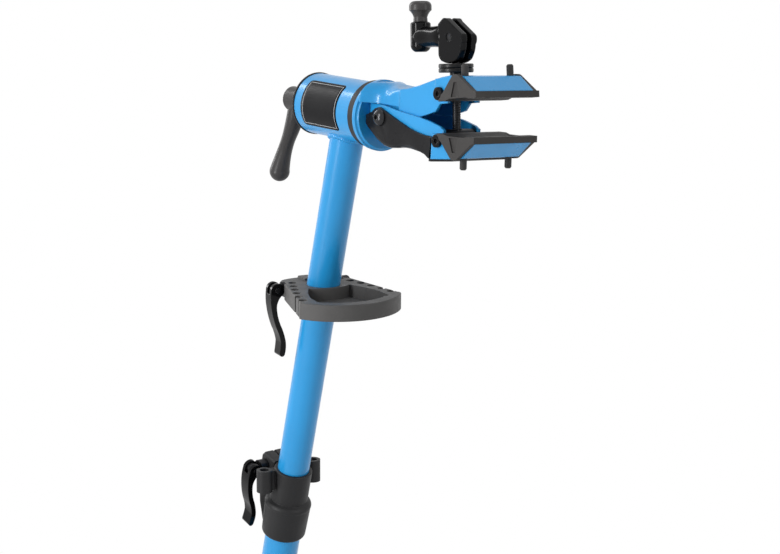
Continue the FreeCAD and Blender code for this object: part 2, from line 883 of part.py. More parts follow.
def grip_point(frame_x, frame_z, tilt, s, n, down=False):
    """A point of a gripping plane's frame in the head's frame, as driven sizes."""
    angle = math.radians(tilt.value)
    sign = -1 if down else 1
    x = frame_x + as_size(s) * math.cos(angle) - as_size(n) * (math.sin(angle) * sign)
    z = frame_z + as_size(s) * math.sin(angle) + as_size(n) * (math.cos(angle) * sign)
    return x, z


def upper_at(s, n):
    return grip_point(upper_grip_x, upper_grip_z, upper_grip_tilt, s, n)


def lower_at(s, n):
    return grip_point(lower_grip_x, lower_grip_z, lower_grip_tilt, s, n, True)


flank_foot = cover_front - 3.5
upper_rail_run = [
    upper_at(-cover_rear - 1, rail_height),
    upper_at(flank_foot, rail_height),
    upper_at(6, apex_height - 1.5),
    upper_at(-4, apex_height),
]
upper_side = [
    (neck_end, 34),
    (neck_end, 9),
    (131, 7.6),
    (145, 8.2),
    (158, 12.2),
    (173, 17.4),
    (176.6, 22),
    (179.5, 25.9),
    (197.5, 28.8),
] + upper_rail_run + [
    (193, 56.2),
    (180, 53.3),
    (164, 48),
    (144, 41.2),
    (125.4, 36.1),
]
upper_inside = [
    (neck_end - 1, 3),
    (neck_end - 1, 31),
    (125.4, 33.1),
    (144, 38.2),
    (164, 45),
    (180, 50.3),
    (193, 53.2),
    upper_at(-4, apex_height - steel),
    upper_at(4.6, apex_height - steel - 1.5),
    upper_at(flank_foot - 4.2, rail_height - 0.2),
    upper_at(flank_foot - 4.2, rail_height - 12),
    upper_at(-cover_rear - 20, rail_height - 30),
    (170, 3),
]
upper_head_side = [
    (head_rear, 31),
    (198, 31),
] + upper_rail_run + [
    (213, 58),
    (202, 55.3),
    (head_rear, 52.5),
]
upper_head_inside = [
    (head_rear + steel, 3),
    (head_rear + steel, 50.3),
    (202, 52.3),
    (213, 55),
    upper_at(-4, apex_height - steel),
    upper_at(4.6, apex_height - steel - 1.5),
    upper_at(flank_foot - 4.2, rail_height - 0.2),
    upper_at(flank_foot - 4.2, rail_height - 12),
]


def straight(side_half):
    """A plan view with straight sides, longer than either jaw."""
    return [(pivot_x - 45, side_half), (270, side_half)]


jaw_depth = jaw_half + 1
upper_blank_jaw = joined("upper_jaw_blank", [
    channel("upper_jaw_arm", upper_side, straight(arm_half), jaw_depth),
    channel("upper_jaw_head", upper_head_side, straight(jaw_half), jaw_depth),
])
upper_void_jaw = joined("upper_jaw_void", [
    channel("upper_arm_room", upper_inside, straight(arm_half - steel), jaw_depth),
    channel("upper_head_room", upper_head_inside, straight(jaw_half - steel), jaw_depth),
])
upper_blank_jaw.Placement = head
upper_void_jaw.Placement = head


def peg_holes(name, frame):
    made = []
    for side in (-1, 1):
        start = Vector(-1.5, side * peg_spread.value, apex_height.value - 8)
        made.append(cylinder("%s_%d" % (name, side + 1), frame, start, peg_radius + pin_fit, 16))
    return made


def screw_bar(name, frame, radius, start, length):
    """A round bar along y on the cover screws' axis."""
    spot = Vector(cover_screw_s.value, as_size(start).value, cover_screw_n.value)
    return cylinder(name, frame, spot, radius, length, Y)


seat_hole = cylinder("seat_hole", rod_frame, Vector(0, 0, -14), ball_radius + 0.8, 28)
upper_voids = joined(
    "upper_jaw_voids",
    [upper_void_jaw, seat_hole] + peg_holes("upper_peg_hole", upper_grip)
    + [screw_bar("upper_screw_hole", upper_grip, cover_screw_radius + 0.2, -60, 120)],
)
node(cut("upper_jaw_cut", upper_blank_jaw, upper_voids), "upper_jaw")

lower_rail_run = [
    lower_at(-4, apex_height),
    lower_at(6, apex_height - 1.5),
    lower_at(flank_foot, rail_height),
    lower_at(-cover_rear - 0.6, rail_height),
]
lower_side = [
    (pivot_x - 12.7, pivot_z),
    (pivot_x - 9, pivot_z - 15),
    (94, -24.6),
    (104.3, -25.9),
    (118.6, -24.1),
    (125.7, -22.4),
    (139.9, -22.3),
    (166.8, -24.1),
    (174, -27.4),
    (182, -28.4),
    (head_rear, -28.9),
] + lower_rail_run + [
    (199.6, -1.2),
    (191.5, 0.9),
    (186, 3.6),
    (167.3, 7.2),
    (149, 9.2),
    (118.3, 11.4),
    (95, pivot_z + 12.3),
    (pivot_x, pivot_z + 12.7),
]
lower_inside = [
    (pivot_x - 30, -60),
    (91, -60),
    (94, -21.6),
    (104.3, -22.9),
    (118.6, -21.1),
    (125.7, -19.4),
    (139.9, -19.3),
    (166.8, -21.1),
    (175, -24.4),
    (183, -25.4),
    lower_at(-4, apex_height - steel),
    lower_at(4.6, apex_height - steel - 1.5),
    lower_at(flank_foot - 4.2, rail_height - 0.2),
    lower_at(flank_foot - 4.2, rail_height - 20),
    (205, 30),
    (pivot_x - 30, 40),
]
lower_head_side = [(head_rear, -28.9)] + lower_rail_run + [(199.4, -3.2), (head_rear, -2.6)]
lower_head_inside = [
    (head_rear + steel, -25.9),
    lower_at(-4, apex_height - steel),
    lower_at(4.6, apex_height - steel - 1.5),
    lower_at(flank_foot - 4.2, rail_height - 0.2),
    lower_at(flank_foot - 4.2, rail_height - 20),
    (205, 30),
    (head_rear + steel, 40),
]
last_corner = len(lower_side) - 1
lower_blank_jaw = joined("lower_jaw_blank", [
    channel("lower_jaw_arm", lower_side, straight(lower_half), jaw_depth, {last_corner: 12.7}),
    channel("lower_jaw_head", lower_head_side, straight(jaw_half), jaw_depth),
])
lower_void_jaw = joined("lower_jaw_void", [
    channel("lower_arm_room", lower_inside, straight(ear_half), jaw_depth),
    channel("lower_head_room", lower_head_inside, straight(jaw_half - steel), jaw_depth),
])
lower_blank_jaw.Placement = head
lower_void_jaw.Placement = head
pivot_hole = cylinder(
    "lower_pivot_hole", head, Vector(pivot_x.value, -60, pivot_z.value), pivot_bolt_radius + pin_fit, 120, Y
)
nut_seat_half = lower_half - 1
nut_seat = cylinder(
    "nut_seat", head, Vector(nut_x.value, -nut_seat_half.value, -nut_drop.value), nut_radius - 3 + pin_fit,
    2 * nut_seat_half, Y,
)
rod_slot = plate_body(
    "rod_slot",
    [(178, -6), (192, -6), (192, 6), (178, 6)],
    20,
    arcs={1: half_round(6), 3: half_round(6)},
    offset=-36,
    role="XY_Plane",
)
rod_slot.Placement = head
lower_voids = joined(
    "lower_jaw_voids",
    [lower_void_jaw, pivot_hole, nut_seat, rod_slot]
    + peg_holes("lower_peg_hole", lower_grip)
    + [screw_bar("lower_screw_hole", lower_grip, cover_screw_radius + 0.2, -60, 120)],
)
node(cut("lower_jaw_cut", lower_blank_jaw, lower_voids), "lower_jaw")

arm_side = [
    (pivot_x - 24, 2),
    (pivot_x - 23.4, -7),
    (71.5, -15.4),
    (82, -22.9),
    (94, -27.6),
    (104.3, -28.9),
    (118.6, -27.1),
    (125.7, -25.4),
    (139.9, -25.3),
    (166.8, -27.1),
    (172.6, -30.4),
    (181, -31.4),
    (221, -33.4),
    (221, -26),
    (182, -26),
    (176.2, -25.4),
    (172.9, -20.2),
    (172, -10),
    (165, -7.9),
    (152.3, -6.4),
    (137.9, -3.8),
    (123.3, 0.6),
    (108.6, 4.9),
    (95, 9.6),
    (86, 12.4),
    (78.7, 10.5),
    (73.2, 6.3),
]
arm_inside = [
    (pivot_x - 40, -60),
    (91, -60),
    (94, -24.6),
    (104.3, -25.9),
    (118.6, -24.1),
    (125.7, -22.4),
    (139.9, -22.3),
    (166.8, -24.1),
    (174, -27.4),
    (182, -28.4),
    (head_rear, -28.9),
    lower_at(-4, apex_height),
    lower_at(20, apex_height),
    (250, 40),
    (pivot_x - 40, 40),
]
arm_plan = [
    (pivot_x - 30, handle_half),
    (180, handle_half),
    (190, jaw_half - side_gap),
    (270, jaw_half - side_gap),
]
arm_void_plan = [
    (pivot_x - 45, lower_half),
    (180, lower_half),
    (189.3, jaw_half + 0.5),
    (270, jaw_half + 0.5),
]
arm_blank = channel("arm_blank", arm_side, arm_plan, jaw_half + 1)
arm_void = channel("arm_void", arm_inside, arm_void_plan, jaw_half + 1)
arm_blank.Placement = head
arm_void.Placement = head
arm_pivot = cylinder(
    "arm_pivot_hole", head, Vector(pivot_x.value, -60, pivot_z.value), pivot_bolt_radius + pin_fit, 120, Y
)
arm_slot = plate_body(
    "arm_rod_slot",
    [(178, -6), (192, -6), (192, 6), (178, 6)],
    20,
    arcs={1: half_round(6), 3: half_round(6)},
    offset=-40,
    role="XY_Plane",
)
arm_slot.Placement = head
node(cut("lower_arm_cut", arm_blank, joined("arm_voids", [arm_void, arm_pivot, arm_slot])), "lower_arm")

# Jaw pivot bolt with a domed socket head and a nut
bolt_half = handle_half + 0.2
bolt = turned_body(
    "jaw_bolt_body",
    [
        (0, -bolt_half - 5),
        (4.5, -bolt_half - 5),
        (9.2, -bolt_half - 1),
        (9.2, -bolt_half),
        (pivot_bolt_radius, -bolt_half),
        (pivot_bolt_radius, bolt_half),
        (9, bolt_half),
        (9, bolt_half + 5.5),
        (0, bolt_half + 5.5),
    ],
    {1: 8},
    role="XY_Plane",
)
drawing = new_sketch(bolt, "XZ_Plane", bolt_half + 5)
outline(drawing, [(3.1 * math.cos(math.radians(60 * k)), 3.1 * math.sin(math.radians(60 * k))) for k in range(6)])
pocket(bolt, drawing, 2.6, both=False)
node(bolt, "jaw_pivot_bolt", turned(head, Vector(pivot_x.value, 0, pivot_z.value)))


# Jaw covers
def jaw_cover(label, frame):
    rear = -cover_rear
    liner = plate_body(
        label + "_liner",
        [
            (rear, 0),
            (-20, 0),
            (-5, groove_depth),
            (2, groove_depth),
            (17, 0),
            (cover_front, 0),
            (cover_front, rail_height),
            (flank_foot - 4.6, rail_height),
            (4, apex_height - steel - 2),
            (-4, apex_height - steel - 0.2),
            (rear + 5, rail_height + 2),
            (rear + 4, rail_height),
            (rear, rail_height),
        ],
        2 * (jaw_half - steel - 0.1),
        both=True,
    )
    rails = plate_body(
        label + "_rails",
        [
            (rear, 0),
            (-20, 0),
            (-5, groove_depth),
            (2, groove_depth),
            (17, 0),
            (cover_front, 0),
            (cover_front, rail_height),
            (rear, rail_height),
        ],
        2 * cover_half,
        both=True,
    )
    pieces = [liner, rails]
    recesses = []
    for side in (-1, 1):
        name = "near" if side < 0 else "far"
        tab = plate_body(
            "%s_tab_%s" % (label, name),
            [
                (rear, rail_height - 5),
                (cover_front - 2.5, rail_height - 5),
                (cover_front - 2.5, rail_height - 0.6),
                (3, apex_height - 1),
                (-9, apex_height - 1),
                (-24, rail_height + 1.2),
                (rear, 3.6),
            ],
            cover_half - jaw_half,
            arcs={3: 9},
            offset=jaw_half if side < 0 else -jaw_half,
            back=side > 0,
        )
        pieces.append(tab)
        outer = cover_half - recess_depth
        recesses.append(plate_body(
            "%s_recess_%s" % (label, name),
            [(-11, 3), (3.5, 3), (-0.5, 17.5), (-5.5, 17.5)],
            recess_depth + 2,
            offset=outer if side < 0 else -outer,
            back=side > 0,
        ))
        start = Vector(-1.5, side * peg_spread.value, apex_height.value - steel.value - 4)
        pieces.append(cylinder("%s_peg_%d" % (label, side + 1), Placement(), start, peg_radius, peg_reach + 7 - 1.4))
        tip = doc.addObject("Part::Cone", "%s_tip_%d" % (label, side + 1))
        tip.Radius1 = peg_radius.value
        tip.Radius2 = peg_radius.value - 1.2
        tip.Height = 1.4
        tip.Placement = Placement(start + Vector(0, 0, peg_reach.value + 7 - 1.4), Rotation())
        pieces.append(tip)
    boss_half = jaw_half - steel - 0.1
    holes = recesses + [screw_bar(label + "_shanks", Placement(), cover_screw_radius, -60, 120)]
    for side in (-1, 1):
        start = -boss_half if side < 0 else boss_half - 8
        pieces.append(screw_bar("%s_boss_%d" % (label, side + 1), Placement(), cover_boss, start, 8))
        start = -jaw_half - 20 if side < 0 else jaw_half
        holes.append(screw_bar("%s_notch_%d" % (label, side + 1), Placement(), cover_screw_head + running_gap, start, 20))
    solid = joined(label + "_solid", pieces)
    return node(cut(label + "_cut", solid, joined(label + "_holes", holes)), label, frame)


jaw_cover("upper_jaw_cover", upper_grip)
jaw_cover("lower_jaw_cover", lower_grip)


def cover_screws(label, frame):
    """Socket screws through each side plate, with their heads outside."""
    pieces = []
    sockets_made = []
    for side in (-1, 1):
        name = "%s_%d" % (label, side + 1)
        outer = jaw_half + cover_screw_height
        shank_start = -jaw_half if side < 0 else jaw_half - 8
        head_start = -outer if side < 0 else jaw_half
        socket_start = -outer - 1 if side < 0 else outer - 2
        pieces.append(screw_bar(name + "_shank", Placement(), cover_screw_radius, shank_start, 8))
        pieces.append(screw_bar(name + "_head", Placement(), cover_screw_head, head_start, cover_screw_height))
        sockets_made.append(screw_bar(name + "_socket", Placement(), 2.6, socket_start, 3))
    solid = joined(label + "_solid", pieces)
    return node(cut(label + "_cut", solid, joined(label + "_sockets", sockets_made)), label, frame)


cover_screws("upper_cover_screws", upper_grip)
cover_screws("lower_cover_screws", lower_grip)

# Barrel nut in the lower jaw
nut_half = nut_seat_half - running_gap
nut_inner_half = ear_half - running_gap
barrel_nut = turned_body(
    "barrel_nut_body",
    [
        (0, -nut_half),
        (nut_radius - 3, -nut_half),
        (nut_radius - 3, -nut_inner_half),
        (nut_radius, -nut_inner_half),
        (nut_radius, nut_inner_half),
        (nut_radius - 3, nut_inner_half),
        (nut_radius - 3, nut_half),
        (0, nut_half),
    ],
    role="XY_Plane",
)
drawing = new_sketch(barrel_nut, "XY_Plane")
circle(drawing, 0, 0, nut_bore)
doc.recompute()
pocket(barrel_nut, drawing)
node(barrel_nut, "barrel_nut", nut_frame)

# Seat, thrust washers, rod and cam pin
washer_mid = washer_bottom + washer_thickness
washer_top = washer_mid + washer_thickness
ball_reach = 5.2
seat_washer = turned_body(
    "seat_washer_body",
    [
        (rod_radius + pin_fit, -ball_reach),
        (math.sqrt(ball_radius.value ** 2 - ball_reach ** 2) + 0.6, -ball_reach),
        (ball_radius, 0),
        (ball_radius, washer_bottom),
        (washer_radius - 0.8, washer_bottom),
        (washer_radius, washer_bottom + 0.8),
        (washer_radius, washer_mid - 0.8),
        (washer_radius - 0.8, washer_mid),
        (rod_radius + pin_fit, washer_mid),
    ],
    {1: ball_radius},
)
node(seat_washer, "seat_washer", rod_frame)
thrust_washer = turned_body(
    "thrust_washer_body",
    [
        (rod_radius + pin_fit, washer_mid),
        (washer_radius - 0.8, washer_mid),
        (washer_radius, washer_mid + 0.8),
        (washer_radius, washer_top - 0.8),
        (washer_radius - 0.8, washer_top),
        (rod_radius + pin_fit, washer_top),
    ],
)
node(thrust_washer, "thrust_washer", rod_frame)

rod_bar = turned_body(
    "rod_bar",
    [
        (0, -rod_tail),
        (rod_radius - 0.8, -rod_tail),
        (rod_radius, -rod_tail + 0.8),
        (rod_radius, cam_pin_height - 6),
        (0, cam_pin_height - 6),
    ],
)
eye = cylinder(
    "rod_eye", Placement(), Vector(0, -(plate_inner.value - running_gap.value), cam_pin_height.value), 9,
    2 * (plate_inner - running_gap), Y,
)
eye_hole = cylinder("rod_eye_hole", Placement(), Vector(0, -10, cam_pin_height.value), cam_pin_radius, 20, Y)
flat_from = washer_top + running_gap / 2
eye_cheeks = joined("rod_trim", [
    block("rod_trim_near", Placement(), (-12, -12, flat_from), (12, -(plate_inner - running_gap), cam_pin_height + 15)),
    block("rod_trim_far", Placement(), (-12, plate_inner - running_gap, flat_from), (12, 12, cam_pin_height + 15)),
    eye_hole,
])
node(cut("clamp_rod_cut", joined("rod_solid", [rod_bar, eye]), eye_cheeks), "clamp_rod", rod_frame)
cam_pin = cylinder("cam_pin_bar", lever_frame, Vector(0, -plate_outer.value + 0.8, 0), cam_pin_radius, 2 * (plate_outer - 0.8), Y)
node(cam_pin, "cam_pin")

# Cam lever: two cam plates, a waisted arm and an upright boss
cam_reach = cam_pin_height - washer_top - running_gap
cam_points = [
    (-17.2, -17),
    (-9.5, -cam_reach + 1.9),
    (0, -cam_reach),
    (14.5, -math.sqrt(cam_reach.value ** 2 - 14.5 ** 2)),
    (20.9, -6.5),
    (20.4, 2.2),
    (-2.4, 17.6),
    (-9.9, 18),
    (-17.4, 12.5),
]
cam_arcs = {0: 9, 1: cam_reach, 2: cam_reach, 3: cam_reach - 4, 4: 9, 6: 6}
cam_plate = plate_body(
    "cam_plate", cam_points, 2 * plate_outer, arcs=cam_arcs, holes=[(0, 0, cam_pin_radius + pin_fit)], both=True
)
soften(cam_plate, 1, lambda edge: abs(abs(edge.BoundBox.YMin) - plate_outer.value) < 0.05 and edge.BoundBox.YLength < 0.05 and edge.BoundBox.DiagonalLength > 11.6, "PartDesign::Chamfer")
cam_slot = block("cam_slot", Placement(), (-11, -plate_inner, -40), (40, plate_inner, 40))
arm_rings = []
for x, radius, z in ((-13, 9.4, 0.6), (-21, 11.4, 1.0), (-34, 10.8, 1.2), (-48, 11.2, 1.2), (-58, 10.6, 1.4)):
    arm_rings.append(Part.Wire(Part.Circle(Vector(x, 0, z), X, radius).toShape()))
arm_bar = freeform("cam_arm", Part.makeLoft(arm_rings, True, False), Placement())
boss = turned_body(
    "cam_boss",
    [
        (0, -boss_bottom),
        (boss_radius - 5, -boss_bottom),
        (boss_radius, -boss_bottom + 7),
        (boss_radius, boss_top - 1.5),
        (boss_radius - 1.5, boss_top),
        (0, boss_top),
    ],
    {1: 7.5},
)
boss.Placement = Placement(Vector(-boss_reach.value, 0, 0), Rotation())
stud_hole = cylinder("stud_hole", Placement(), Vector(-boss_reach.value, 0, 4), knob_stud, 30)
cam_solid = joined("cam_solid", [cut("cam_plates", cam_plate, cam_slot), arm_bar, boss])
cam_trim = joined("cam_trim", [stud_hole, block("cam_eye_room", Placement(), (-11, -plate_inner, -40), (40, plate_inner, 40))])
node(cut("cam_lever_cut", cam_solid, cam_trim), "cam_lever", lever_frame)
knob_frame = turned(lever_frame, Vector(-boss_reach.value, 0, boss_top.value))
stud = cylinder("knob_stud_bar", knob_frame, Vector(0, 0, -13), knob_stud, 13 + knob_height - 6)
node(stud, "spinner_stud")
knob = turned_body(
    "knob_body",
    [
        (knob_stud + pin_fit, running_gap),
        (knob_neck, running_gap),
        (knob_neck - 0.4, 5),
        (knob_radius, knob_height - 9.5),
        (knob_radius, knob_height - 5),
        (knob_radius - 5, knob_height),
        (0, knob_height),
        (0, knob_height - 5.5),
        (knob_stud + pin_fit, knob_height - 5.5),
    ],
    {2: -14, 4: 5.5},
)
node(knob, "spinner_knob", knob_frame)

# Tool tray
def through(half_chord, rise):
    """The radius of an arc across a chord, with this rise at its middle."""
    return (half_chord * half_chord + rise * rise) / (2 * rise)


tray_blank = new_body("tray_blank")
drawing = new_sketch(tray_blank, "XY_Plane")
outline(
    drawing,
    [
        (-44, -14),
        (tray_skewer_x - 9, -tray_lug_half + 3),
        (tray_skewer_x - 7, -tray_lug_half),
        (tray_skewer_x + 12, -tray_lug_half),
        (tray_skewer_x + 13, -tray_lug_half - 4.6),
        (5, -46.5),
        (tray_corner_x - 8, -tray_corner_y + 1.5),
        (tray_corner_x, -tray_corner_y + 1),
        (tray_corner_x, tray_corner_y - 1),
        (tray_corner_x - 8, tray_corner_y - 1.5),
        (5, 46.5),
        (tray_skewer_x + 13, tray_lug_half + 4.6),
        (tray_skewer_x + 12, tray_lug_half),
        (tray_skewer_x - 7, tray_lug_half),
        (tray_skewer_x - 9, tray_lug_half - 3),
        (-44, 14),
    ],
    {
        0: 48,
        6: 6,
        7: through(tray_corner_y - 1, tray_front - tray_corner_x),
        8: 6,
        14: 48,
    },
)
pad(tray_blank, drawing, tray_height, back=True)
soften(tray_blank, 1.2, rim(z=0))
drawing = new_sketch(tray_blank, "XY_Plane")
outline(
    drawing,
    [
        (15, -25.5),
        (35, -35.5),
        (well_corner_x - 25.5, -well_corner_y - 4.5),
        (well_corner_x - 5.5, -well_corner_y - 5.5),
        (well_corner_x, -well_corner_y),
        (well_corner_x, well_corner_y),
        (well_corner_x - 5.5, well_corner_y + 5.5),
        (well_corner_x - 25.5, well_corner_y + 4.5),
        (35, 35.5),
        (15, 25.5),
    ],
    {3: 5, 4: through(well_corner_y, well_front - well_corner_x), 5: 5, 9: -40.6},
)
pocket(tray_blank, drawing, well_depth, both=False)
drawing = new_sketch(tray_blank, "XY_Plane")
for x, y in ((-20, 30.5), (-3.5, 35.8), (13, 41.4), (29.8, 46.6), (46.5, 51.4), (64, 54.6)):
    circle(drawing, x, y, tool_hole)
    circle(drawing, x, -y, tool_hole)
pocket(tray_blank, drawing)
tray_blank.Placement = tray_frame
tray_lugs = plate_body(
    "tray_lugs",
    [(-46, -tray_height + 0.5), (-24, -tray_height + 0.5), (-24, 2.5), (-42, 2.5), (-46, -1.5)],
    26,
    both=True,
)
tray_lugs.Placement = tray_frame
bore_start = mast.inverse().multVec(tray_point).z - 60
tray_bore = cylinder("tray_bore", mast, Vector(0, 0, bore_start), collar_bore, 120)
tray_split = block("tray_split", tray_frame, (-60, -half_split, -40), (-15, half_split, 20))
release_tray = turned(tray_frame, Vector(tray_skewer_x.value, 0, tray_skewer_z.value))
tray_hole = cylinder("tray_skewer_hole", release_tray, Vector(0, -70, 0), skewer_bore, 140, Y)
tray_solid = joined("tray_solid", [tray_blank, tray_lugs])
node(cut("tray_cut", tray_solid, joined("tray_voids", [tray_bore, tray_split, tray_hole])), "tool_tray")
tray_release = release_frame(release_tray, tray_lug_half)
release_skewer("tray_skewer", tray_release, tray_lug_half)
release_lever("tray_lever", tray_release)

# Leg collar
leg_bore = lower_radius + running_gap + 0.1
half_collar = leg_collar_height / 2
leg_ring = turned_body(
    "leg_ring",
    [
        (leg_bore, -half_collar),
        (leg_collar_radius - 2, -half_collar),
        (leg_collar_radius, -half_collar + 2),
        (leg_collar_radius, half_collar - 2),
        (leg_collar_radius - 2, half_collar),
        (leg_bore, half_collar),
    ],
)
leg_collar_frame = turned(mast, Vector(0, 0, leg_collar_at.value))
leg_ring.Placement = leg_collar_frame
collar_pieces = [leg_ring]
ear_inner = leg_radius + running_gap
for name, side in (("left", 1), ("right", -1)):
    fold = turned(leg_collar_frame, Vector(), Z, side * leg_azimuth.value)
    for index, face in enumerate((ear_inner, -ear_inner - leg_ear)):
        ear = plate_body(
            "leg_ear_%s_%d" % (name, index),
            [
                (10, -18),
                (24, -18),
                (leg_pivot_out, -leg_ear_radius),
                (leg_pivot_out, leg_ear_radius),
                (24, 18),
                (10, 18),
            ],
            leg_ear,
            arcs={2: half_round(leg_ear_radius)},
            holes=[(leg_pivot_out, 0, leg_bolt_radius)],
            offset=-face,
            back=True,
        )
        ear.Placement = fold
        collar_pieces.append(ear)
leg_lug = plate_body(
    "leg_lug",
    [(-20, -14), (-40, -14), (-44, -10), (-44, 10), (-40, 14), (-20, 14)],
    2 * leg_lug_half,
    both=True,
)
leg_lug.Placement = leg_collar_frame
collar_pieces.append(leg_lug)
leg_release_at = turned(leg_collar_frame, Vector(-35, 0, 0))
leg_voids = joined("leg_collar_voids", [
    cylinder("leg_collar_bore", leg_collar_frame, Vector(0, 0, -40), leg_bore, 80),
    block("leg_collar_split", leg_collar_frame, (-60, -half_split, -40), (-15, half_split, 40)),
    cylinder("leg_skewer_hole", leg_release_at, Vector(0, -40, 0), skewer_bore, 80, Y),
])
node(cut("leg_collar_cut", joined("leg_collar_solid", collar_pieces), leg_voids), "leg_collar")
leg_release = release_frame(leg_release_at, leg_lug_half)
release_skewer("leg_skewer", leg_release, leg_lug_half)
release_lever("leg_lever", leg_release)

# Legs and braces fold in planes through the mast's axis
angle = math.radians(leg_angle.value)
attach_out = leg_pivot_out.value + brace_at.value * math.sin(angle)
attach_up = leg_collar_at.value - brace_at.value * math.cos(angle)
brace_rise = attach_up - bracket_at.value
brace_run = attach_out - bracket_out.value
brace_length = math.hypot(brace_rise, brace_run)
brace_lean = math.degrees(math.atan2(brace_run, brace_rise))
bolts = []
bracket_pieces = []
bracket_ring = ring_body("bracket_ring", lower_radius, bracket_radius, bracket_at - bracket_height / 2, bracket_height)
bracket_ring.Placement = mast
bracket_pieces.append(bracket_ring)
bracket_bolts = []
for name, side in (("left", 1), ("right", -1)):
    fold = turned(mast, Vector(), Z, side * leg_azimuth.value)
    leg_frame = turned(fold, Vector(leg_pivot_out.value, 0, leg_collar_at.value), Y, 180 - leg_angle.value)
    drop = -leg_frame.Rotation.multVec(Z).z
    leg_reach = leg_frame.Base.z / drop
    spread = math.sqrt(1 - drop * drop) / drop
    tube_end = leg_reach - leg_radius.value * spread - 6
    tube = ring_body("leg_tube_%s_body" % name, leg_radius - leg_wall, leg_radius, 18, tube_end - 18)
    node(tube, "leg_tube_" + name, leg_frame)
    tongue_half_width = leg_ear_radius - 2
    leg_tongue = plate_body(
        "leg_plug_%s_tongue" % name,
        [(-tongue_half_width, 0), (-tongue_half_width, 17), (tongue_half_width, 17), (tongue_half_width, 0)],
        2 * leg_radius,
        arcs={3: -half_round(tongue_half_width)},
        holes=[(0, 0, leg_bolt_radius + pin_fit)],
        both=True,
    )
    shoulder_ring = cylinder("leg_plug_%s_shoulder" % name, Placement(), Vector(0, 0, 14), leg_radius, 4)
    plug = cylinder("leg_plug_%s_plug" % name, Placement(), Vector(0, 0, 16), leg_radius - leg_wall, 26)
    node(joined("leg_plug_%s_parts" % name, [leg_tongue, shoulder_ring, plug]), "leg_plug_" + name, leg_frame)
    foot_back = leg_reach - 52
    foot = turned_body(
        "leg_foot_%s_blank" % name,
        [
            (0, tube_end),
            (leg_radius, tube_end),
            (leg_radius, foot_back),
            (leg_radius + 1.6, foot_back),
            (leg_foot_radius, foot_back + 18),
            (leg_foot_radius, leg_reach + 2),
            (leg_foot_radius - 9, leg_reach + 13),
            (0, leg_reach + 13),
        ],
        {5: 11},
    )
    foot.Placement = leg_frame
    ground = block("leg_foot_%s_floor" % name, Placement(), (0, -900, -90), (1400, 900, 0))
    node(cut("leg_foot_%s_cut" % name, foot, ground), "leg_foot_" + name)
    lay = side * (brace_layer.value - running_gap.value)
    boss_bar = cylinder(
        "brace_boss_%s_bar" % name, leg_frame, Vector(0, 0, brace_at.value), 8, abs(lay), Y if side > 0 else -Y
    )
    boss_cut = cylinder("brace_boss_%s_room" % name, leg_frame, Vector(0, 0, 0), leg_radius, 600)
    node(cut("brace_boss_%s_cut" % name, boss_bar, boss_cut), "brace_boss_" + name)
    near = brace_layer if side > 0 else -brace_layer - brace_thickness
    brace = plate_body(
        "brace_%s_body" % name,
        [
            (0, -brace_width / 2),
            (brace_length, -brace_width / 2),
            (brace_length, brace_width / 2),
            (0, brace_width / 2),
        ],
        brace_thickness,
        arcs={1: half_round(brace_width / 2), 3: half_round(brace_width / 2)},
        holes=[(0, 0, leg_bolt_radius + pin_fit), (brace_length, 0, leg_bolt_radius)],
        offset=-near,
        back=True,
    )
    brace_frame = turned(fold, Vector(bracket_out.value, 0, bracket_at.value), Y, brace_lean - 90)
    node(brace, "brace_" + name, brace_frame)
    out = Y if side > 0 else -Y
    layer = side * brace_layer.value
    rivet = joined("brace_rivet_%s_parts" % name, [
        cylinder("brace_rivet_%s_shank" % name, brace_frame, Vector(brace_length, layer, 0), leg_bolt_radius, brace_thickness, out),
        cylinder(
            "brace_rivet_%s_head" % name, brace_frame,
            Vector(brace_length, side * (brace_layer.value + brace_thickness.value), 0), 7, 2, out,
        ),
    ])
    node(rivet, "brace_rivet_" + name)
    ear_face = brace_layer + brace_thickness + running_gap
    near = ear_face if side > 0 else -ear_face - bracket_ear
    bracket_piece = plate_body(
        "bracket_ear_" + name,
        [
            (5, bracket_at - 20),
            (14, bracket_at - 20),
            (bracket_out, bracket_at - 12),
            (bracket_out, bracket_at + 12),
            (14, bracket_at + 20),
            (5, bracket_at + 20),
        ],
        bracket_ear,
        arcs={2: half_round(12)},
        holes=[(bracket_out, bracket_at, leg_bolt_radius)],
        offset=-near,
        back=True,
    )
    bracket_piece.Placement = fold
    bracket_pieces.append(bracket_piece)
    pin_at = Vector(bracket_out.value, side * (brace_layer.value - running_gap.value - 1), bracket_at.value)
    bracket_bolts.append(cylinder(
        "bracket_bolt_%s_shank" % name, fold, pin_at, leg_bolt_radius, 1 + running_gap * 2 + brace_thickness + bracket_ear, out
    ))
    bracket_bolts.append(cylinder("bracket_bolt_%s_flange" % name, fold, pin_at, 7, 1, out))
    head_at = Vector(bracket_out.value, side * (ear_face.value + bracket_ear.value), bracket_at.value)
    bracket_bolts.append(cylinder("bracket_bolt_%s_head" % name, fold, head_at, 7, 4, out))
    pivot = turned(leg_collar_frame, Vector(), Z, side * leg_azimuth.value)
    reach = ear_inner + leg_ear
    bolts.append(cylinder(
        "leg_bolt_%s_shank" % name, pivot, Vector(leg_pivot_out.value, -reach.value, 0), leg_bolt_radius, 2 * reach, Y
    ))
    bolts.append(cylinder(
        "leg_bolt_%s_head" % name, pivot, Vector(leg_pivot_out.value, reach.value, 0), 7, 4.5, Y
    ))
    bolts.append(cylinder(
        "leg_bolt_%s_nut" % name, pivot, Vector(leg_pivot_out.value, -reach.value - 5, 0), 6.6, 5, Y
    ))
bracket_room = cylinder("bracket_room", mast, Vector(0, 0, bracket_at.value - 40), lower_radius, 80)
node(cut("foot_bracket_cut", joined("foot_bracket_solid", bracket_pieces), bracket_room), "foot_bracket")
node(joined("bracket_bolts_parts", bracket_bolts), "bracket_bolts")
node(joined("leg_bolts_parts", bolts), "leg_bolts")

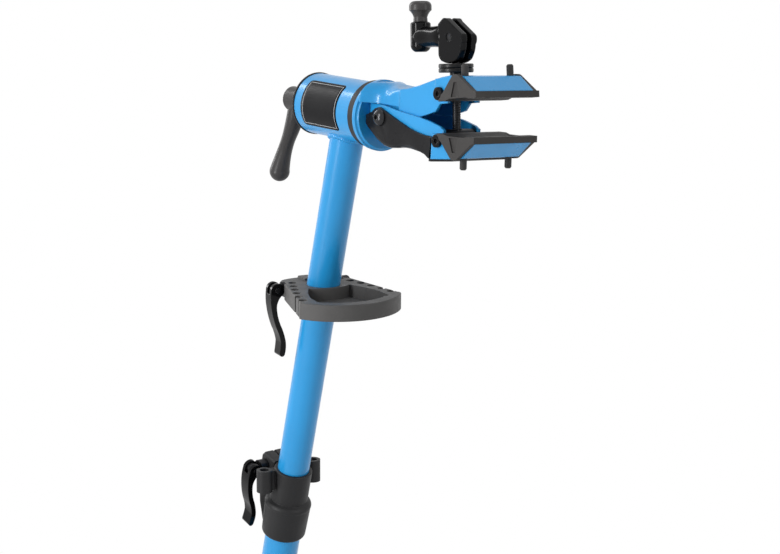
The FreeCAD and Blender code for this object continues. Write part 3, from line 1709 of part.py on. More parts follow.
doc.recompute()
failed = [made.Label for made in doc.Objects if set(made.State) & {"Invalid", "Error"}]
if failed:
    raise ValueError("these failed: " + ", ".join(failed))
for made in NODES:
    shape = made.Shape
    if shape.isNull() or not shape.isValid():
        raise ValueError("%s has no valid solid" % made.Label)
    shape.exportStep("parts/%s.step" % made.Label)
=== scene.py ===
"""Looks of the bicycle repair stand: its finishes, small trim, lights and camera."""
import math

import bmesh
import bpy
from mathutils import Matrix, Vector


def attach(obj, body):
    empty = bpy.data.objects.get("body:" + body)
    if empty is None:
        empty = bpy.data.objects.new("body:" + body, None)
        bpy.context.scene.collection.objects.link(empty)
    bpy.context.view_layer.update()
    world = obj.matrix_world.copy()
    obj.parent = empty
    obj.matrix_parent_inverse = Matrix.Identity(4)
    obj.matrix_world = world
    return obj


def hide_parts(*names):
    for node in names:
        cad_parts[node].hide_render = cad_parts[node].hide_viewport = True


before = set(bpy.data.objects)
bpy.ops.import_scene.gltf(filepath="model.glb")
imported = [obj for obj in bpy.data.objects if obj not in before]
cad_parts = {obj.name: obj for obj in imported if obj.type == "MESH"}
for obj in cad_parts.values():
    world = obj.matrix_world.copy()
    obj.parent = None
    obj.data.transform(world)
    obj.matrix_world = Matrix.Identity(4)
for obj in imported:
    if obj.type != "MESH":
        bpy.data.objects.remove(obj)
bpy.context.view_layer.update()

MILLIMETRE = 0.001

# Where the main parts are, in metres
MAST_LEAN = math.radians(14.65)
MAST_AXIS = Vector((math.sin(MAST_LEAN), 0, math.cos(MAST_LEAN)))
MAST_SIDE = Vector((0, 1, 0))
HEAD_ALONG_MAST = 1.375
HEAD_POINT = MAST_AXIS * HEAD_ALONG_MAST
HEAD_ROLL = math.radians(-3.34)
HEAD = Matrix.Translation(HEAD_POINT) @ Matrix.Rotation(HEAD_ROLL, 4, "X")
BARREL_RADIUS = 0.034
UPPER_TUBE_RADIUS = 0.019
LEG_AZIMUTH = math.radians(38)
TRAY_TURN = math.radians(-10.5)

# Clamp rod: where it passes its seat, and how far it leans towards the nut below
ROD_SEAT = Vector((0.1778, 0, 0.05))
ROD_FOOT_X = 0.1834
ROD_LEAN = math.atan2(ROD_SEAT.x - ROD_FOOT_X, ROD_SEAT.z)
ROD_RADIUS = 0.004
ROD_TAIL = 0.078
ROD = HEAD @ Matrix.Translation(ROD_SEAT) @ Matrix.Rotation(ROD_LEAN, 4, "Y")

# Camera, fitted to the photograph
IMAGE_WIDTH = 780
CAMERA_FROM_HEAD = Vector((1.65802, -1.20282, 0.27297))
CAMERA_AZIMUTH = math.radians(52.82)
CAMERA_ELEVATION = math.radians(12.71)
CAMERA_ROLL = math.radians(0.47)
CAMERA_FOCAL_PIXELS = 1866.03
SENSOR_WIDTH = 36.0

# Share of daylight that reaches the object from all round; the softboxes give the rest
WORLD_LIGHT = 0.34

# Colours, linear
BLUE = (0.016, 0.275, 0.610)
# Lighter blue for the edges of the blue paints: partly thin, rubbed paint, partly a painted highlight along
# the edges
EDGE_WEAR_AND_HIGHLIGHT_BLUE = (0.05, 0.33, 0.64)
WORN_BLACK = (0.075, 0.075, 0.078)
WORN_GREY = (0.13, 0.13, 0.13)
BARE_STEEL = (0.42, 0.42, 0.43)

# Which finish each node has
FINISHES = {
    "tube_paint": ("lower_tube", "upper_tube", "barrel", "leg_tube_left", "leg_tube_right"),
    "jaw_paint": ("head_casting", "upper_jaw", "lower_jaw"),
    "textured_plastic": (
        "mast_foot", "foot_bracket", "height_collar", "leg_collar", "leg_plug_left", "leg_plug_right",
        "brace_boss_left", "brace_boss_right", "slide_bush", "rear_cap", "front_bush",
    ),
    "tray_plastic": ("tool_tray",),
    "gloss_plastic": ("lock_handle", "spinner_knob"),
    "foot_rubber": ("leg_foot_left", "leg_foot_right"),
    "jaw_rubber": ("upper_jaw_cover", "lower_jaw_cover"),
    "cast_black": ("lower_arm",),
    "lever_black": ("height_lever", "leg_lever", "tray_lever"),
    "cam_black": ("cam_lever", "upper_cover_screws", "lower_cover_screws"),
    "strip_black": ("brace_left", "brace_right"),
    "black_oxide": (
        "bracket_bolts", "height_skewer", "leg_skewer", "leg_bolts", "tray_skewer", "clamp_rod", "cam_pin",
        "spinner_stud", "barrel_nut", "head_spindle", "brace_rivet_left", "brace_rivet_right",
    ),
    "washer_black": ("seat_washer", "thrust_washer"),
    "bolt_steel": ("jaw_pivot_bolt",),
}


# Material helpers. Noise is (features per metre, detail)
NOISE_ROUGHNESS = 0.55
SHADE_NOISE = (9.0, 4.0)
GLOSS_NOISE = (55.0, 5.0)
WEAR_AND_HIGHLIGHT_NOISE = (140.0, 6.0)
WEAR_AND_HIGHLIGHT_START = 0.42
WEAR_AND_HIGHLIGHT_END = 0.62
WORN_ROUGHNESS = 0.15
GRAIN_DETAIL = 2.0
BEVEL_SAMPLES = 6
EDGE_AGREEMENT = (0.86, 0.985)


def empty_material(name):
    """A material with only a Principled shader and an output, and the tree that holds them."""
    material = bpy.data.materials.new(name)
    material.use_nodes = True
    tree = material.node_tree
    tree.nodes.clear()
    output = tree.nodes.new("ShaderNodeOutputMaterial")
    shader = tree.nodes.new("ShaderNodeBsdfPrincipled")
    tree.links.new(shader.outputs["BSDF"], output.inputs["Surface"])
    return material, tree, shader


def noise(tree, scale, detail):
    """Noise in the piece's own coordinates; scale counts features per metre."""
    place = tree.nodes.new("ShaderNodeTexCoord")
    texture = tree.nodes.new("ShaderNodeTexNoise")
    texture.inputs["Scale"].default_value = scale
    texture.inputs["Detail"].default_value = detail
    texture.inputs["Roughness"].default_value = NOISE_ROUGHNESS
    tree.links.new(place.outputs["Object"], texture.inputs["Vector"])
    return texture.outputs["Fac"]


def spread(tree, value, low, high, start=0.3, end=0.7):
    """Maps a texture's start..end to low..high."""
    fit = tree.nodes.new("ShaderNodeMapRange")
    fit.inputs["From Min"].default_value = start
    fit.inputs["From Max"].default_value = end
    fit.inputs["To Min"].default_value = low
    fit.inputs["To Max"].default_value = high
    tree.links.new(value, fit.inputs["Value"])
    return fit.outputs["Result"]


def between(tree, value, colours, places=(0.35, 0.65)):
    """Turns a texture into a blend of colours at those places."""
    ramp = tree.nodes.new("ShaderNodeValToRGB")
    stops = ramp.color_ramp.elements
    for index, (place, colour) in enumerate(zip(places, colours)):
        stop = stops[index] if index < len(stops) else stops.new(place)
        stop.position = place
        stop.color = (*colour, 1)
    tree.links.new(value, ramp.inputs["Fac"])
    return ramp.outputs["Color"]


def worked(tree, operation, first, second):
    """One step of arithmetic; second is a socket or a number."""
    step = tree.nodes.new("ShaderNodeMath")
    step.operation = operation
    step.use_clamp = True
    tree.links.new(first, step.inputs[0])
    if isinstance(second, (int, float)):
        step.inputs[1].default_value = second
    else:
        tree.links.new(second, step.inputs[1])
    return step.outputs[0]


def rounded_normal(tree, radius):
    """A normal that rounds sharp edges by a small radius."""
    rounded = tree.nodes.new("ShaderNodeBevel")
    rounded.samples = BEVEL_SAMPLES
    rounded.inputs["Radius"].default_value = radius
    return rounded.outputs["Normal"]


def edge_mask(tree, normal):
    """A mask that is 1 where the rounded normal turns away from the flat one."""
    flat = tree.nodes.new("ShaderNodeNewGeometry")
    agree = tree.nodes.new("ShaderNodeVectorMath")
    agree.operation = "DOT_PRODUCT"
    tree.links.new(normal, agree.inputs[0])
    tree.links.new(flat.outputs["Normal"], agree.inputs[1])
    return spread(tree, agree.outputs["Value"], 1.0, 0.0, *EDGE_AGREEMENT)


def tinted(colour, factor):
    return tuple(min(1.0, channel * factor) for channel in colour)


def surface(
    name, colour, roughness, grain, depth, metallic=0.0, coat=0.0, variation=0.12, edge=0.0006,
    wear_and_highlight_colour=None, wear_and_highlight_amount=0.5, shine=0.5, coat_roughness=0.1,
):
    """A finish with slow colour changes, uneven gloss, a fine grain and, with an edge colour given,
    that colour in noisy patches on its edges: rubbed edges on most finishes, and on the blue paints
    partly a painted highlight. roughness is its lowest and highest value, grain the number of bumps
    per metre and depth their height."""
    material, tree, shader = empty_material(name)
    normal = rounded_normal(tree, edge)
    shades = (tinted(colour, 1 - variation), tinted(colour, 1 + variation))
    paint = between(tree, noise(tree, *SHADE_NOISE), shades)
    gloss = spread(tree, noise(tree, *GLOSS_NOISE), *roughness)
    # Edge colour in noisy patches: rubbed edges on most finishes, and on the blue paints partly a painted
    # highlight
    if wear_and_highlight_colour is not None:
        rubbed = spread(tree, noise(tree, *WEAR_AND_HIGHLIGHT_NOISE), 0.0, wear_and_highlight_amount, WEAR_AND_HIGHLIGHT_START, WEAR_AND_HIGHLIGHT_END)
        mask = worked(tree, "MULTIPLY", edge_mask(tree, normal), rubbed)
        mix = tree.nodes.new("ShaderNodeMix")
        mix.data_type = "RGBA"
        tree.links.new(mask, mix.inputs["Factor"])
        tree.links.new(paint, mix.inputs["A"])
        mix.inputs["B"].default_value = (*wear_and_highlight_colour, 1)
        paint = mix.outputs["Result"]
        gloss = worked(tree, "ADD", gloss, worked(tree, "MULTIPLY", mask, WORN_ROUGHNESS))
    tree.links.new(paint, shader.inputs["Base Color"])
    tree.links.new(gloss, shader.inputs["Roughness"])
    shader.inputs["Metallic"].default_value = metallic
    shader.inputs["Specular IOR Level"].default_value = shine
    shader.inputs["Coat Weight"].default_value = coat
    shader.inputs["Coat Roughness"].default_value = coat_roughness
    bump = tree.nodes.new("ShaderNodeBump")
    bump.inputs["Distance"].default_value = depth
    tree.links.new(normal, bump.inputs["Normal"])
    tree.links.new(noise(tree, grain, GRAIN_DETAIL), bump.inputs["Height"])
    tree.links.new(bump.outputs["Normal"], shader.inputs["Normal"])
    return material


# Finishes
def tube_paint():
    """Gloss powder coat with a slight orange peel."""
    # Its lighter blue edges are partly a painted highlight, partly rubbed paint
    return surface(
        "tube_paint", BLUE, (0.28, 0.4), 650.0, 0.00005, coat=0.35, variation=0.04, edge=0.0010,
        wear_and_highlight_colour=EDGE_WEAR_AND_HIGHLIGHT_BLUE, wear_and_highlight_amount=0.5, shine=0.25, coat_roughness=0.16,
    )


def jaw_paint():
    """The same coat over pressed and cast parts, whose edges are rounder."""
    # Its lighter blue edges are partly a painted highlight, partly rubbed paint
    return surface(
        "jaw_paint", BLUE, (0.26, 0.38), 650.0, 0.00006, coat=0.25, variation=0.05, edge=0.0018,
        wear_and_highlight_colour=EDGE_WEAR_AND_HIGHLIGHT_BLUE, wear_and_highlight_amount=0.6, shine=0.25, coat_roughness=0.12,
    )


def textured_plastic():
    """Moulded nylon with a spark-eroded grain."""
    return surface(
        "textured_plastic", (0.015, 0.015, 0.016), (0.42, 0.56), 2200.0, 0.00005, edge=0.0008,
        wear_and_highlight_colour=WORN_BLACK, wear_and_highlight_amount=0.35, shine=0.25,
    )


def tray_plastic():
    """Moulded nylon, a little dusty on its flats."""
    return surface(
        "tray_plastic", (0.080, 0.078, 0.077), (0.44, 0.6), 1800.0, 0.00006, variation=0.16, edge=0.0009,
        wear_and_highlight_colour=WORN_GREY, wear_and_highlight_amount=0.4, shine=0.25,
    )


def gloss_plastic():
    """Smooth moulding with a soft sheen."""
    return surface(
        "gloss_plastic", (0.038, 0.036, 0.036), (0.28, 0.42), 900.0, 0.00003, edge=0.0009,
        wear_and_highlight_colour=WORN_BLACK, wear_and_highlight_amount=0.25, shine=0.22,
    )


def foot_rubber():
    """Matt rubber, scuffed."""
    return surface(
        "foot_rubber", (0.022, 0.022, 0.022), (0.66, 0.85), 1500.0, 0.00010, variation=0.2, edge=0.001,
        wear_and_highlight_colour=WORN_BLACK, wear_and_highlight_amount=0.6, shine=0.2,
    )


def jaw_rubber():
    """Dense elastomer with a fine moulded grain."""
    return surface(
        "jaw_rubber", (0.044, 0.042, 0.041), (0.44, 0.6), 2400.0, 0.00006, variation=0.18, edge=0.0007,
        wear_and_highlight_colour=WORN_BLACK, wear_and_highlight_amount=0.5, shine=0.12,
    )


def cast_black():
    """Gloss black over pressed sheet with rounded edges."""
    return surface(
        "cast_black", (0.009, 0.009, 0.010), (0.24, 0.34), 900.0, 0.00004, coat=0.14, edge=0.0025,
        wear_and_highlight_colour=WORN_BLACK, wear_and_highlight_amount=0.35, shine=0.06, coat_roughness=0.1,
    )


def lever_black():
    """Polished black levers with crisp reflections."""
    return surface(
        "lever_black", (0.004, 0.004, 0.0045), (0.12, 0.2), 700.0, 0.00002, coat=0.16, edge=0.0013,
        wear_and_highlight_colour=WORN_BLACK, wear_and_highlight_amount=0.25, shine=0.05, coat_roughness=0.06,
    )


def cam_black():
    """Deep gloss black with broad rounded rims."""
    return surface(
        "cam_black", (0.003, 0.003, 0.0035), (0.12, 0.2), 700.0, 0.00002, coat=0.2, edge=0.0026,
        wear_and_highlight_colour=WORN_BLACK, wear_and_highlight_amount=0.2, shine=0.04, coat_roughness=0.05,
    )


def strip_black():
    """Satin black paint on flat steel strip."""
    return surface(
        "strip_black", (0.016, 0.016, 0.017), (0.36, 0.5), 1200.0, 0.00005,
        wear_and_highlight_colour=BARE_STEEL, wear_and_highlight_amount=0.35, shine=0.3,
    )


def black_oxide():
    """Blackened steel, rubbed bright on its edges."""
    return surface(
        "black_oxide", (0.022, 0.022, 0.024), (0.3, 0.46), 1800.0, 0.00002, metallic=0.85, edge=0.0004,
        wear_and_highlight_colour=BARE_STEEL, wear_and_highlight_amount=0.3,
    )


def washer_black():
    """Rubbery plastic of the ribbed washers."""
    return surface(
        "washer_black", (0.006, 0.006, 0.006), (0.26, 0.4), 1600.0, 0.00004, edge=0.0007,
        wear_and_highlight_colour=WORN_BLACK, wear_and_highlight_amount=0.4, shine=0.2,
    )


def bolt_steel():
    """Black gloss bolt whose head has been rubbed by the key."""
    return surface(
        "bolt_steel", (0.030, 0.030, 0.032), (0.16, 0.3), 2600.0, 0.00002, metallic=0.7, edge=0.0005,
        wear_and_highlight_colour=BARE_STEEL, wear_and_highlight_amount=0.8,
    )


def label_foil():
    """Black printed foil."""
    return surface(
        "label_foil", (0.007, 0.007, 0.008), (0.3, 0.4), 900.0, 0.00001, variation=0.06, edge=0.0001,
        shine=0.08,
    )


def label_line():
    """Pale print on the foil."""
    return surface(
        "label_line", (0.46, 0.47, 0.48), (0.34, 0.44), 900.0, 0.00001, variation=0.05, edge=0.0001,
        shine=0.2,
    )


def dress_nodes():
    """Every node gets its finish."""
    makers = {
        "tube_paint": tube_paint,
        "jaw_paint": jaw_paint,
        "textured_plastic": textured_plastic,
        "tray_plastic": tray_plastic,
        "gloss_plastic": gloss_plastic,
        "foot_rubber": foot_rubber,
        "jaw_rubber": jaw_rubber,
        "cast_black": cast_black,
        "lever_black": lever_black,
        "cam_black": cam_black,
        "strip_black": strip_black,
        "black_oxide": black_oxide,
        "washer_black": washer_black,
        "bolt_steel": bolt_steel,
    }
    made = {}
    for finish, names in FINISHES.items():
        made[finish] = makers[finish]()
        for name in names:
            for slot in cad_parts[name].material_slots:
                slot.material = made[finish]
    return made


# Mesh helpers
SHARP_ANGLE = math.radians(32)
SAME_FACE = 0.0001


def mesh_piece(name, points, faces, material):
    mesh = bpy.data.meshes.new(name)
    mesh.from_pydata(points, [], faces)
    mesh.update()
    mesh.materials.append(material)
    piece = bpy.data.objects.new(name, mesh)
    bpy.context.scene.collection.objects.link(piece)
    return piece


def ride_smooth(piece, body):
    """Smooth shading with its sharp edges kept; the piece moves with a body."""
    for polygon in piece.data.polygons:
        polygon.use_smooth = True
    piece.data.set_sharp_from_angle(angle=SHARP_ANGLE)
    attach(piece, body)


def ring_faces(rings, columns, closed=False):
    """Quads between rings of points; closed joins the last ring to the first."""
    faces = []
    for ring in range(rings if closed else rings - 1):
        here = ring * columns
        there = (ring + 1) % rings * columns
        for column in range(columns):
            beside = (column + 1) % columns
            faces.append((here + column, here + beside, there + beside, there + column))
    return faces


def outer_end(name, direction, side=0):
    """Middle of a node's outermost face in a direction; side picks one half of the stand."""
    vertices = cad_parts[name].data.vertices
    corners = [vertex.co for vertex in vertices if side == 0 or vertex.co.y * side > 0]
    furthest = max(corner.dot(direction) for corner in corners)
    rim = [corner for corner in corners if corner.dot(direction) > furthest - SAME_FACE]
    lows = [min(corner[axis] for corner in rim) for axis in range(3)]
    highs = [max(corner[axis] for corner in rim) for axis in range(3)]
    return (Vector(lows) + Vector(highs)) / 2


def standing_on(point, direction):
    """A frame at a point whose z axis has that direction."""
    return Matrix.Translation(point) @ direction.to_track_quat("Z", "Y").to_matrix().to_4x4()


def lathe_points(rows, columns):
    """Rings of points from rows of (reach of the column's angle, height)."""
    points = []
    for reach, height in rows:
        for column in range(columns):
            angle = 2 * math.pi * column / columns
            distance = reach(angle)
            points.append((distance * math.cos(angle), distance * math.sin(angle), height))
    return points


def round_reach(radius):
    return lambda angle: radius


def hexagon_reach(flat):
    """Distance to a hexagon's side, half its width across flats being flat."""
    sixth = math.pi / 3
    return lambda angle: flat / math.cos((angle + sixth / 2) % sixth - sixth / 2)


def lathe_piece(name, rows, columns, where, material, body):
    """A turned piece, closed by a point at the middle of its last ring."""
    points = lathe_points(rows, columns)
    tip = len(points)
    points.append((0, 0, rows[-1][1]))
    faces = ring_faces(len(rows), columns)
    last = tip - columns
    for column in range(columns):
        faces.append((last + column, last + (column + 1) % columns, tip))
    piece = mesh_piece(name, points, faces, material)
    piece.data.transform(where)
    ride_smooth(piece, body)


# Black pressed arm round the lower jaw: side view, the room inside it and their plans, in millimetres
# of the head's frame
ARM_BEND = (
    (71.5, -15.4), (82, -22.9), (94, -27.6), (104.3, -28.9), (118.6, -27.1), (125.7, -25.4), (139.9, -25.3),
    (166.8, -27.1),
)
ARM_SIDE = ((63.5, 2), (64.1, -7)) + ARM_BEND + (
    (172.6, -30.2), (181, -31.6), (190, -31.3), (224, -26.8), (227, -24.3), (206, -20), (182, -20),
    (181.5, -9), (178, -7.4), (165, -7.9), (152.3, -6.4), (137.9, -3.8), (123.3, 0.6), (108.6, 4.9),
    (95, 9.6), (86, 12.4), (78.7, 10.5), (73.2, 6.3),
)
ROOM_BEND = (
    (94, -24.6), (104.3, -25.9), (118.6, -24.1), (125.7, -22.4), (139.9, -22.3), (166.8, -24.1), (174, -27.4),
    (182, -28.4),
)
ROOM_SIDE = ((47.5, -60), (91, -60)) + ROOM_BEND + ((189.5, -28.9), (230.1, -23.7), (250, 40), (47.5, 40))
ARM_PLAN = ((57, 27.4), (176, 27.4), (186, 36.6), (270, 36.6))
ROOM_PLAN = ((42, 24.4), (177, 24.4), (186.5, 37.5), (270, 37.5))
ROD_SLOT = ((178, -6), (192, -6), (192, 6), (178, 6))
ROD_SLOT_HEIGHTS = (-40, -20)
BOLT_HOLE = (87.5, 2, 5.05)
BOLT_HOLE_STEPS = 48
BOLT_HOLE_HALF = 40
OUTER_BEND_RADIUS = 5.5
INNER_BEND_RADIUS = 2.5
BEND_SEGMENTS = 5
PRESS_ROUNDING = 0.0009
PRESS_SEGMENTS = 3
PRESS_ANGLE = math.radians(40)


def width_at(plan, along):
    """Half width of a plan of (along, half width) corners."""
    for (start, low), (end, high) in zip(plan, plan[1:]):
        if along <= end:
            return low + (high - low) * max(0.0, (along - start) / (end - start))
    return plan[-1][1]


def pressed_blank(name, side_view, plan, bend, bend_radius):
    """A side view given its width by a plan, with a round bend along part of its outline."""
    shape = bmesh.new()
    walls = [[shape.verts.new((along, side, height)) for along, height in side_view] for side in (-1, 1)]
    shape.faces.new(walls[0])
    shape.faces.new(reversed(walls[1]))
    count = len(side_view)
    for corner in range(count):
        beside = (corner + 1) % count
        shape.faces.new((walls[0][beside], walls[0][corner], walls[1][corner], walls[1][beside]))
    for along, _ in plan[1:-1]:
        parts = shape.verts[:] + shape.edges[:] + shape.faces[:]
        bmesh.ops.bisect_plane(shape, geom=parts, plane_co=(along, 0, 0), plane_no=(1, 0, 0))
    for corner in shape.verts:
        corner.co.y = math.copysign(width_at(plan, corner.co.x), corner.co.y)
    bend_set = {(round(along, 3), round(height, 3)) for along, height in bend}
    edges = [
        edge for edge in shape.edges
        if edge.verts[0].co.y * edge.verts[1].co.y > 0
        and all((round(corner.co.x, 3), round(corner.co.z, 3)) in bend_set for corner in edge.verts)
    ]
    # The bend keeps its full radius: with its width clamped, the cut arm's mesh comes out open
    bmesh.ops.bevel(
        shape, geom=edges, offset=bend_radius, offset_type="OFFSET", segments=BEND_SEGMENTS, profile=0.5,
        affect="EDGES", clamp_overlap=False,
    )
    bmesh.ops.recalc_face_normals(shape, faces=shape.faces[:])
    shape.transform(HEAD @ Matrix.Scale(MILLIMETRE, 4))
    mesh = bpy.data.meshes.new(name)
    shape.to_mesh(mesh)
    shape.free()
    return bpy.data.objects.new(name, mesh)


def column(name, outline, low, high, turn=Matrix()):
    """An upright prism over an outline, turned within the head's frame."""
    count = len(outline)
    points = [(x, y, height) for height in (low, high) for x, y in outline]
    faces = [tuple(reversed(range(count))), tuple(range(count, 2 * count))]
    faces += ring_faces(2, count)
    mesh = bpy.data.meshes.new(name)
    mesh.from_pydata(points, [], faces)
    mesh.transform(HEAD @ Matrix.Scale(MILLIMETRE, 4) @ turn)
    return bpy.data.objects.new(name, mesh)


def add_clamp_arm(paint):
    """The arm as pressed from one sheet: its strip ends close under the jaw's edge."""
    arm = pressed_blank("clamp_arm", ARM_SIDE, ARM_PLAN, ARM_BEND, OUTER_BEND_RADIUS)
    bolt_x, bolt_z, bolt_radius = BOLT_HOLE
    turns = [math.pi * step / (BOLT_HOLE_STEPS / 2) for step in range(BOLT_HOLE_STEPS)]
    circle = [(bolt_radius * math.cos(turn), bolt_radius * math.sin(turn)) for turn in turns]
    across = Matrix.Translation((bolt_x, 0, bolt_z)) @ Matrix.Rotation(math.radians(90), 4, "X")
    tools = (
        pressed_blank("arm_room", ROOM_SIDE, ROOM_PLAN, ROOM_BEND, INNER_BEND_RADIUS),
        column("arm_rod_slot", ROD_SLOT, *ROD_SLOT_HEIGHTS),
        column("arm_bolt_hole", circle, -BOLT_HOLE_HALF, BOLT_HOLE_HALF, across),
    )
    bpy.context.scene.collection.objects.link(arm)
    for tool in tools:
        bpy.context.scene.collection.objects.link(tool)
        cut = arm.modifiers.new(tool.name, "BOOLEAN")
        cut.operation = "DIFFERENCE"
        cut.solver = "EXACT"
        cut.object = tool
    edges = arm.modifiers.new("rounding", "BEVEL")
    edges.width = PRESS_ROUNDING
    edges.segments = PRESS_SEGMENTS
    edges.limit_method = "ANGLE"
    edges.angle_limit = PRESS_ANGLE
    bpy.context.view_layer.update()
    shaped = bpy.data.meshes.new_from_object(arm.evaluated_get(bpy.context.evaluated_depsgraph_get()))
    arm.modifiers.clear()
    arm.data = shaped
    for tool in tools:
        bpy.data.objects.remove(tool)
    arm.data.materials.clear()
    arm.data.materials.append(paint)
    ride_smooth(arm, "lower_jaw")
    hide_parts("lower_arm")


# Barrel label: a bare black foil with a thin frame line, wrapped on the near side
LABEL_BACK = -0.0500
LABEL_FRONT = 0.0170
LABEL_LOW = math.radians(-35.5)
LABEL_HIGH = math.radians(58.0)
LABEL_CORNER = 0.0040
FOIL = 0.00025
LINE_INSET = 0.0030
LINE_WIDTH = 0.0006
LINE_LIFT = 0.00004


def barrel_spot(along, angle, lift):
    """A point over the barrel, along it from the head's middle and up from its near side."""
    radius = BARREL_RADIUS + lift
    return (HEAD_POINT.x + along, -radius * math.cos(angle), HEAD_POINT.z + radius * math.sin(angle))


def barrel_sheet(back, front, low, high, lift, corner=0.0, rows=40, columns=12):
    """Points and faces of a sheet that follows the barrel, with rounded corners."""
    arc = (high - low) * BARREL_RADIUS
    points = []
    for row in range(rows + 1):
        share = row / rows
        to_edge = min(share, 1 - share) * arc
        inset = 0.0
        if to_edge < corner:
            inset = corner - math.sqrt(corner ** 2 - (corner - to_edge) ** 2)
        for column in range(columns + 1):
            along = back + inset + (front - back - 2 * inset) * column / columns
            points.append(barrel_spot(along, low + (high - low) * share, lift))
    across = columns + 1
    faces = []
    for row in range(rows):
        for column in range(columns):
            first = row * across + column
            faces.append((first, first + 1, first + across + 1, first + across))
    return points, faces


def add_label():
    points, faces = barrel_sheet(LABEL_BACK, LABEL_FRONT, LABEL_LOW, LABEL_HIGH, FOIL, LABEL_CORNER)
    foil = mesh_piece("barrel_label", points, faces, label_foil())
    thick = foil.modifiers.new("foil", "SOLIDIFY")
    thick.thickness = FOIL
    thick.offset = -1.0
    ride_smooth(foil, "upper_mast")

    back = LABEL_BACK + LINE_INSET
    front = LABEL_FRONT - LINE_INSET
    low = LABEL_LOW + LINE_INSET / BARREL_RADIUS
    high = LABEL_HIGH - LINE_INSET / BARREL_RADIUS
    turn = LINE_WIDTH / BARREL_RADIUS
    strips = (
        (back, front, low, low + turn),
        (back, front, high - turn, high),
        (back, back + LINE_WIDTH, low + turn, high - turn),
        (front - LINE_WIDTH, front, low + turn, high - turn),
    )
    points = []
    faces = []
    for strip in strips:
        start = len(points)
        spots, quads = barrel_sheet(*strip, FOIL + LINE_LIFT)
        points += spots
        faces += [tuple(start + index for index in quad) for quad in quads]
    ride_smooth(mesh_piece("barrel_label_line", points, faces, label_line()), "upper_mast")


# Rim of the rear cap, which stands a little proud of the barrel
RIM_RADIUS = 0.0350
RIM_THICKNESS = 0.0030
RIM_ROUND = 0.0009
RIM_INNER_RADIUS = BARREL_RADIUS - 0.0010
RIM_CLEARANCE = 0.0001
RIM_COLUMNS = 96
BARREL_BACK = -0.0635


def add_cap_rim(plastic):
    back = HEAD_POINT + Vector((BARREL_BACK, 0, 0))
    rows = (
        (round_reach(RIM_INNER_RADIUS), RIM_CLEARANCE),
        (round_reach(RIM_RADIUS - RIM_ROUND), RIM_CLEARANCE),
        (round_reach(RIM_RADIUS), RIM_ROUND),
        (round_reach(RIM_RADIUS), RIM_THICKNESS - RIM_ROUND),
        (round_reach(RIM_RADIUS - RIM_ROUND), RIM_THICKNESS),
        (round_reach(RIM_INNER_RADIUS), RIM_THICKNESS + RIM_CLEARANCE),
    )
    points = lathe_points(rows, RIM_COLUMNS)
    rim = mesh_piece("rear_cap_rim", points, ring_faces(len(rows), RIM_COLUMNS, True), plastic)
    rim.data.transform(standing_on(back, Vector((-1, 0, 0))))
    ride_smooth(rim, "upper_mast")


# Weld bead where the mast meets the barrel
WELD_RADIUS = 0.0030
WELD_STEPS = 240
WELD_SECTION = 10
WELD_RIPPLES = 60
WELD_RIPPLE = 0.06


def add_weld(paint):
    across = MAST_SIDE.cross(MAST_AXIS)
    seam = []
    for step in range(WELD_STEPS):
        angle = 2 * math.pi * step / WELD_STEPS
        offset = UPPER_TUBE_RADIUS * (math.cos(angle) * across + math.sin(angle) * MAST_SIDE)
        underside = HEAD_POINT.z - math.sqrt(BARREL_RADIUS ** 2 - offset.y ** 2)
        seam.append(offset + MAST_AXIS * ((underside - offset.z) / MAST_AXIS.z))
    points = []
    for step, middle in enumerate(seam):
        run = (seam[(step + 1) % WELD_STEPS] - seam[step - 1]).normalized()
        out = (middle - MAST_AXIS * middle.dot(MAST_AXIS)).normalized()
        third = run.cross(out).normalized()
        radius = WELD_RADIUS * (1 + WELD_RIPPLE * math.sin(2 * math.pi * WELD_RIPPLES * step / WELD_STEPS))
        for corner in range(WELD_SECTION):
            turn = 2 * math.pi * corner / WELD_SECTION
            points.append(middle + radius * (math.cos(turn) * out + math.sin(turn) * third))
    bead = mesh_piece("mast_weld", points, ring_faces(WELD_STEPS, WELD_SECTION, True), paint)
    ride_smooth(bead, "upper_mast")


# Thread on the clamp rod, below its seat
THREAD_PITCH = 0.0024
THREAD_TOP = -0.0105
THREAD_CREST = 0.00042
THREAD_ROOT = 0.0002
THREAD_TURN_STEPS = 28
THREAD_RUN_OUT = 2.0
THREAD_END_GAP = 0.0015
THREAD_CREST_HALF = 0.12
THREAD_ROOT_HALF = 0.42


def add_rod_thread(steel):
    bottom = THREAD_END_GAP - ROD_TAIL
    turns = (THREAD_TOP - bottom) / THREAD_PITCH
    steps = int(turns * THREAD_TURN_STEPS)
    root = ROD_RADIUS - THREAD_ROOT
    points = []
    for step in range(steps + 1):
        done = step / THREAD_TURN_STEPS
        height = bottom + done * THREAD_PITCH
        angle = 2 * math.pi * done
        crest = ROD_RADIUS + THREAD_CREST * min(1.0, done / THREAD_RUN_OUT, (turns - done) / THREAD_RUN_OUT)
        section = (
            (root, -THREAD_ROOT_HALF), (crest, -THREAD_CREST_HALF), (crest, THREAD_CREST_HALF),
            (root, THREAD_ROOT_HALF),
        )
        for radius, shift in section:
            points.append((radius * math.cos(angle), radius * math.sin(angle), height + shift * THREAD_PITCH))
    faces = []
    for step in range(steps):
        for corner in range(3):
            first = 4 * step + corner
            faces.append((first, first + 4, first + 5, first + 1))
    thread = mesh_piece("clamp_rod_thread", points, faces, steel)
    thread.data.transform(ROD)
    ride_smooth(thread, "clamp_rod")


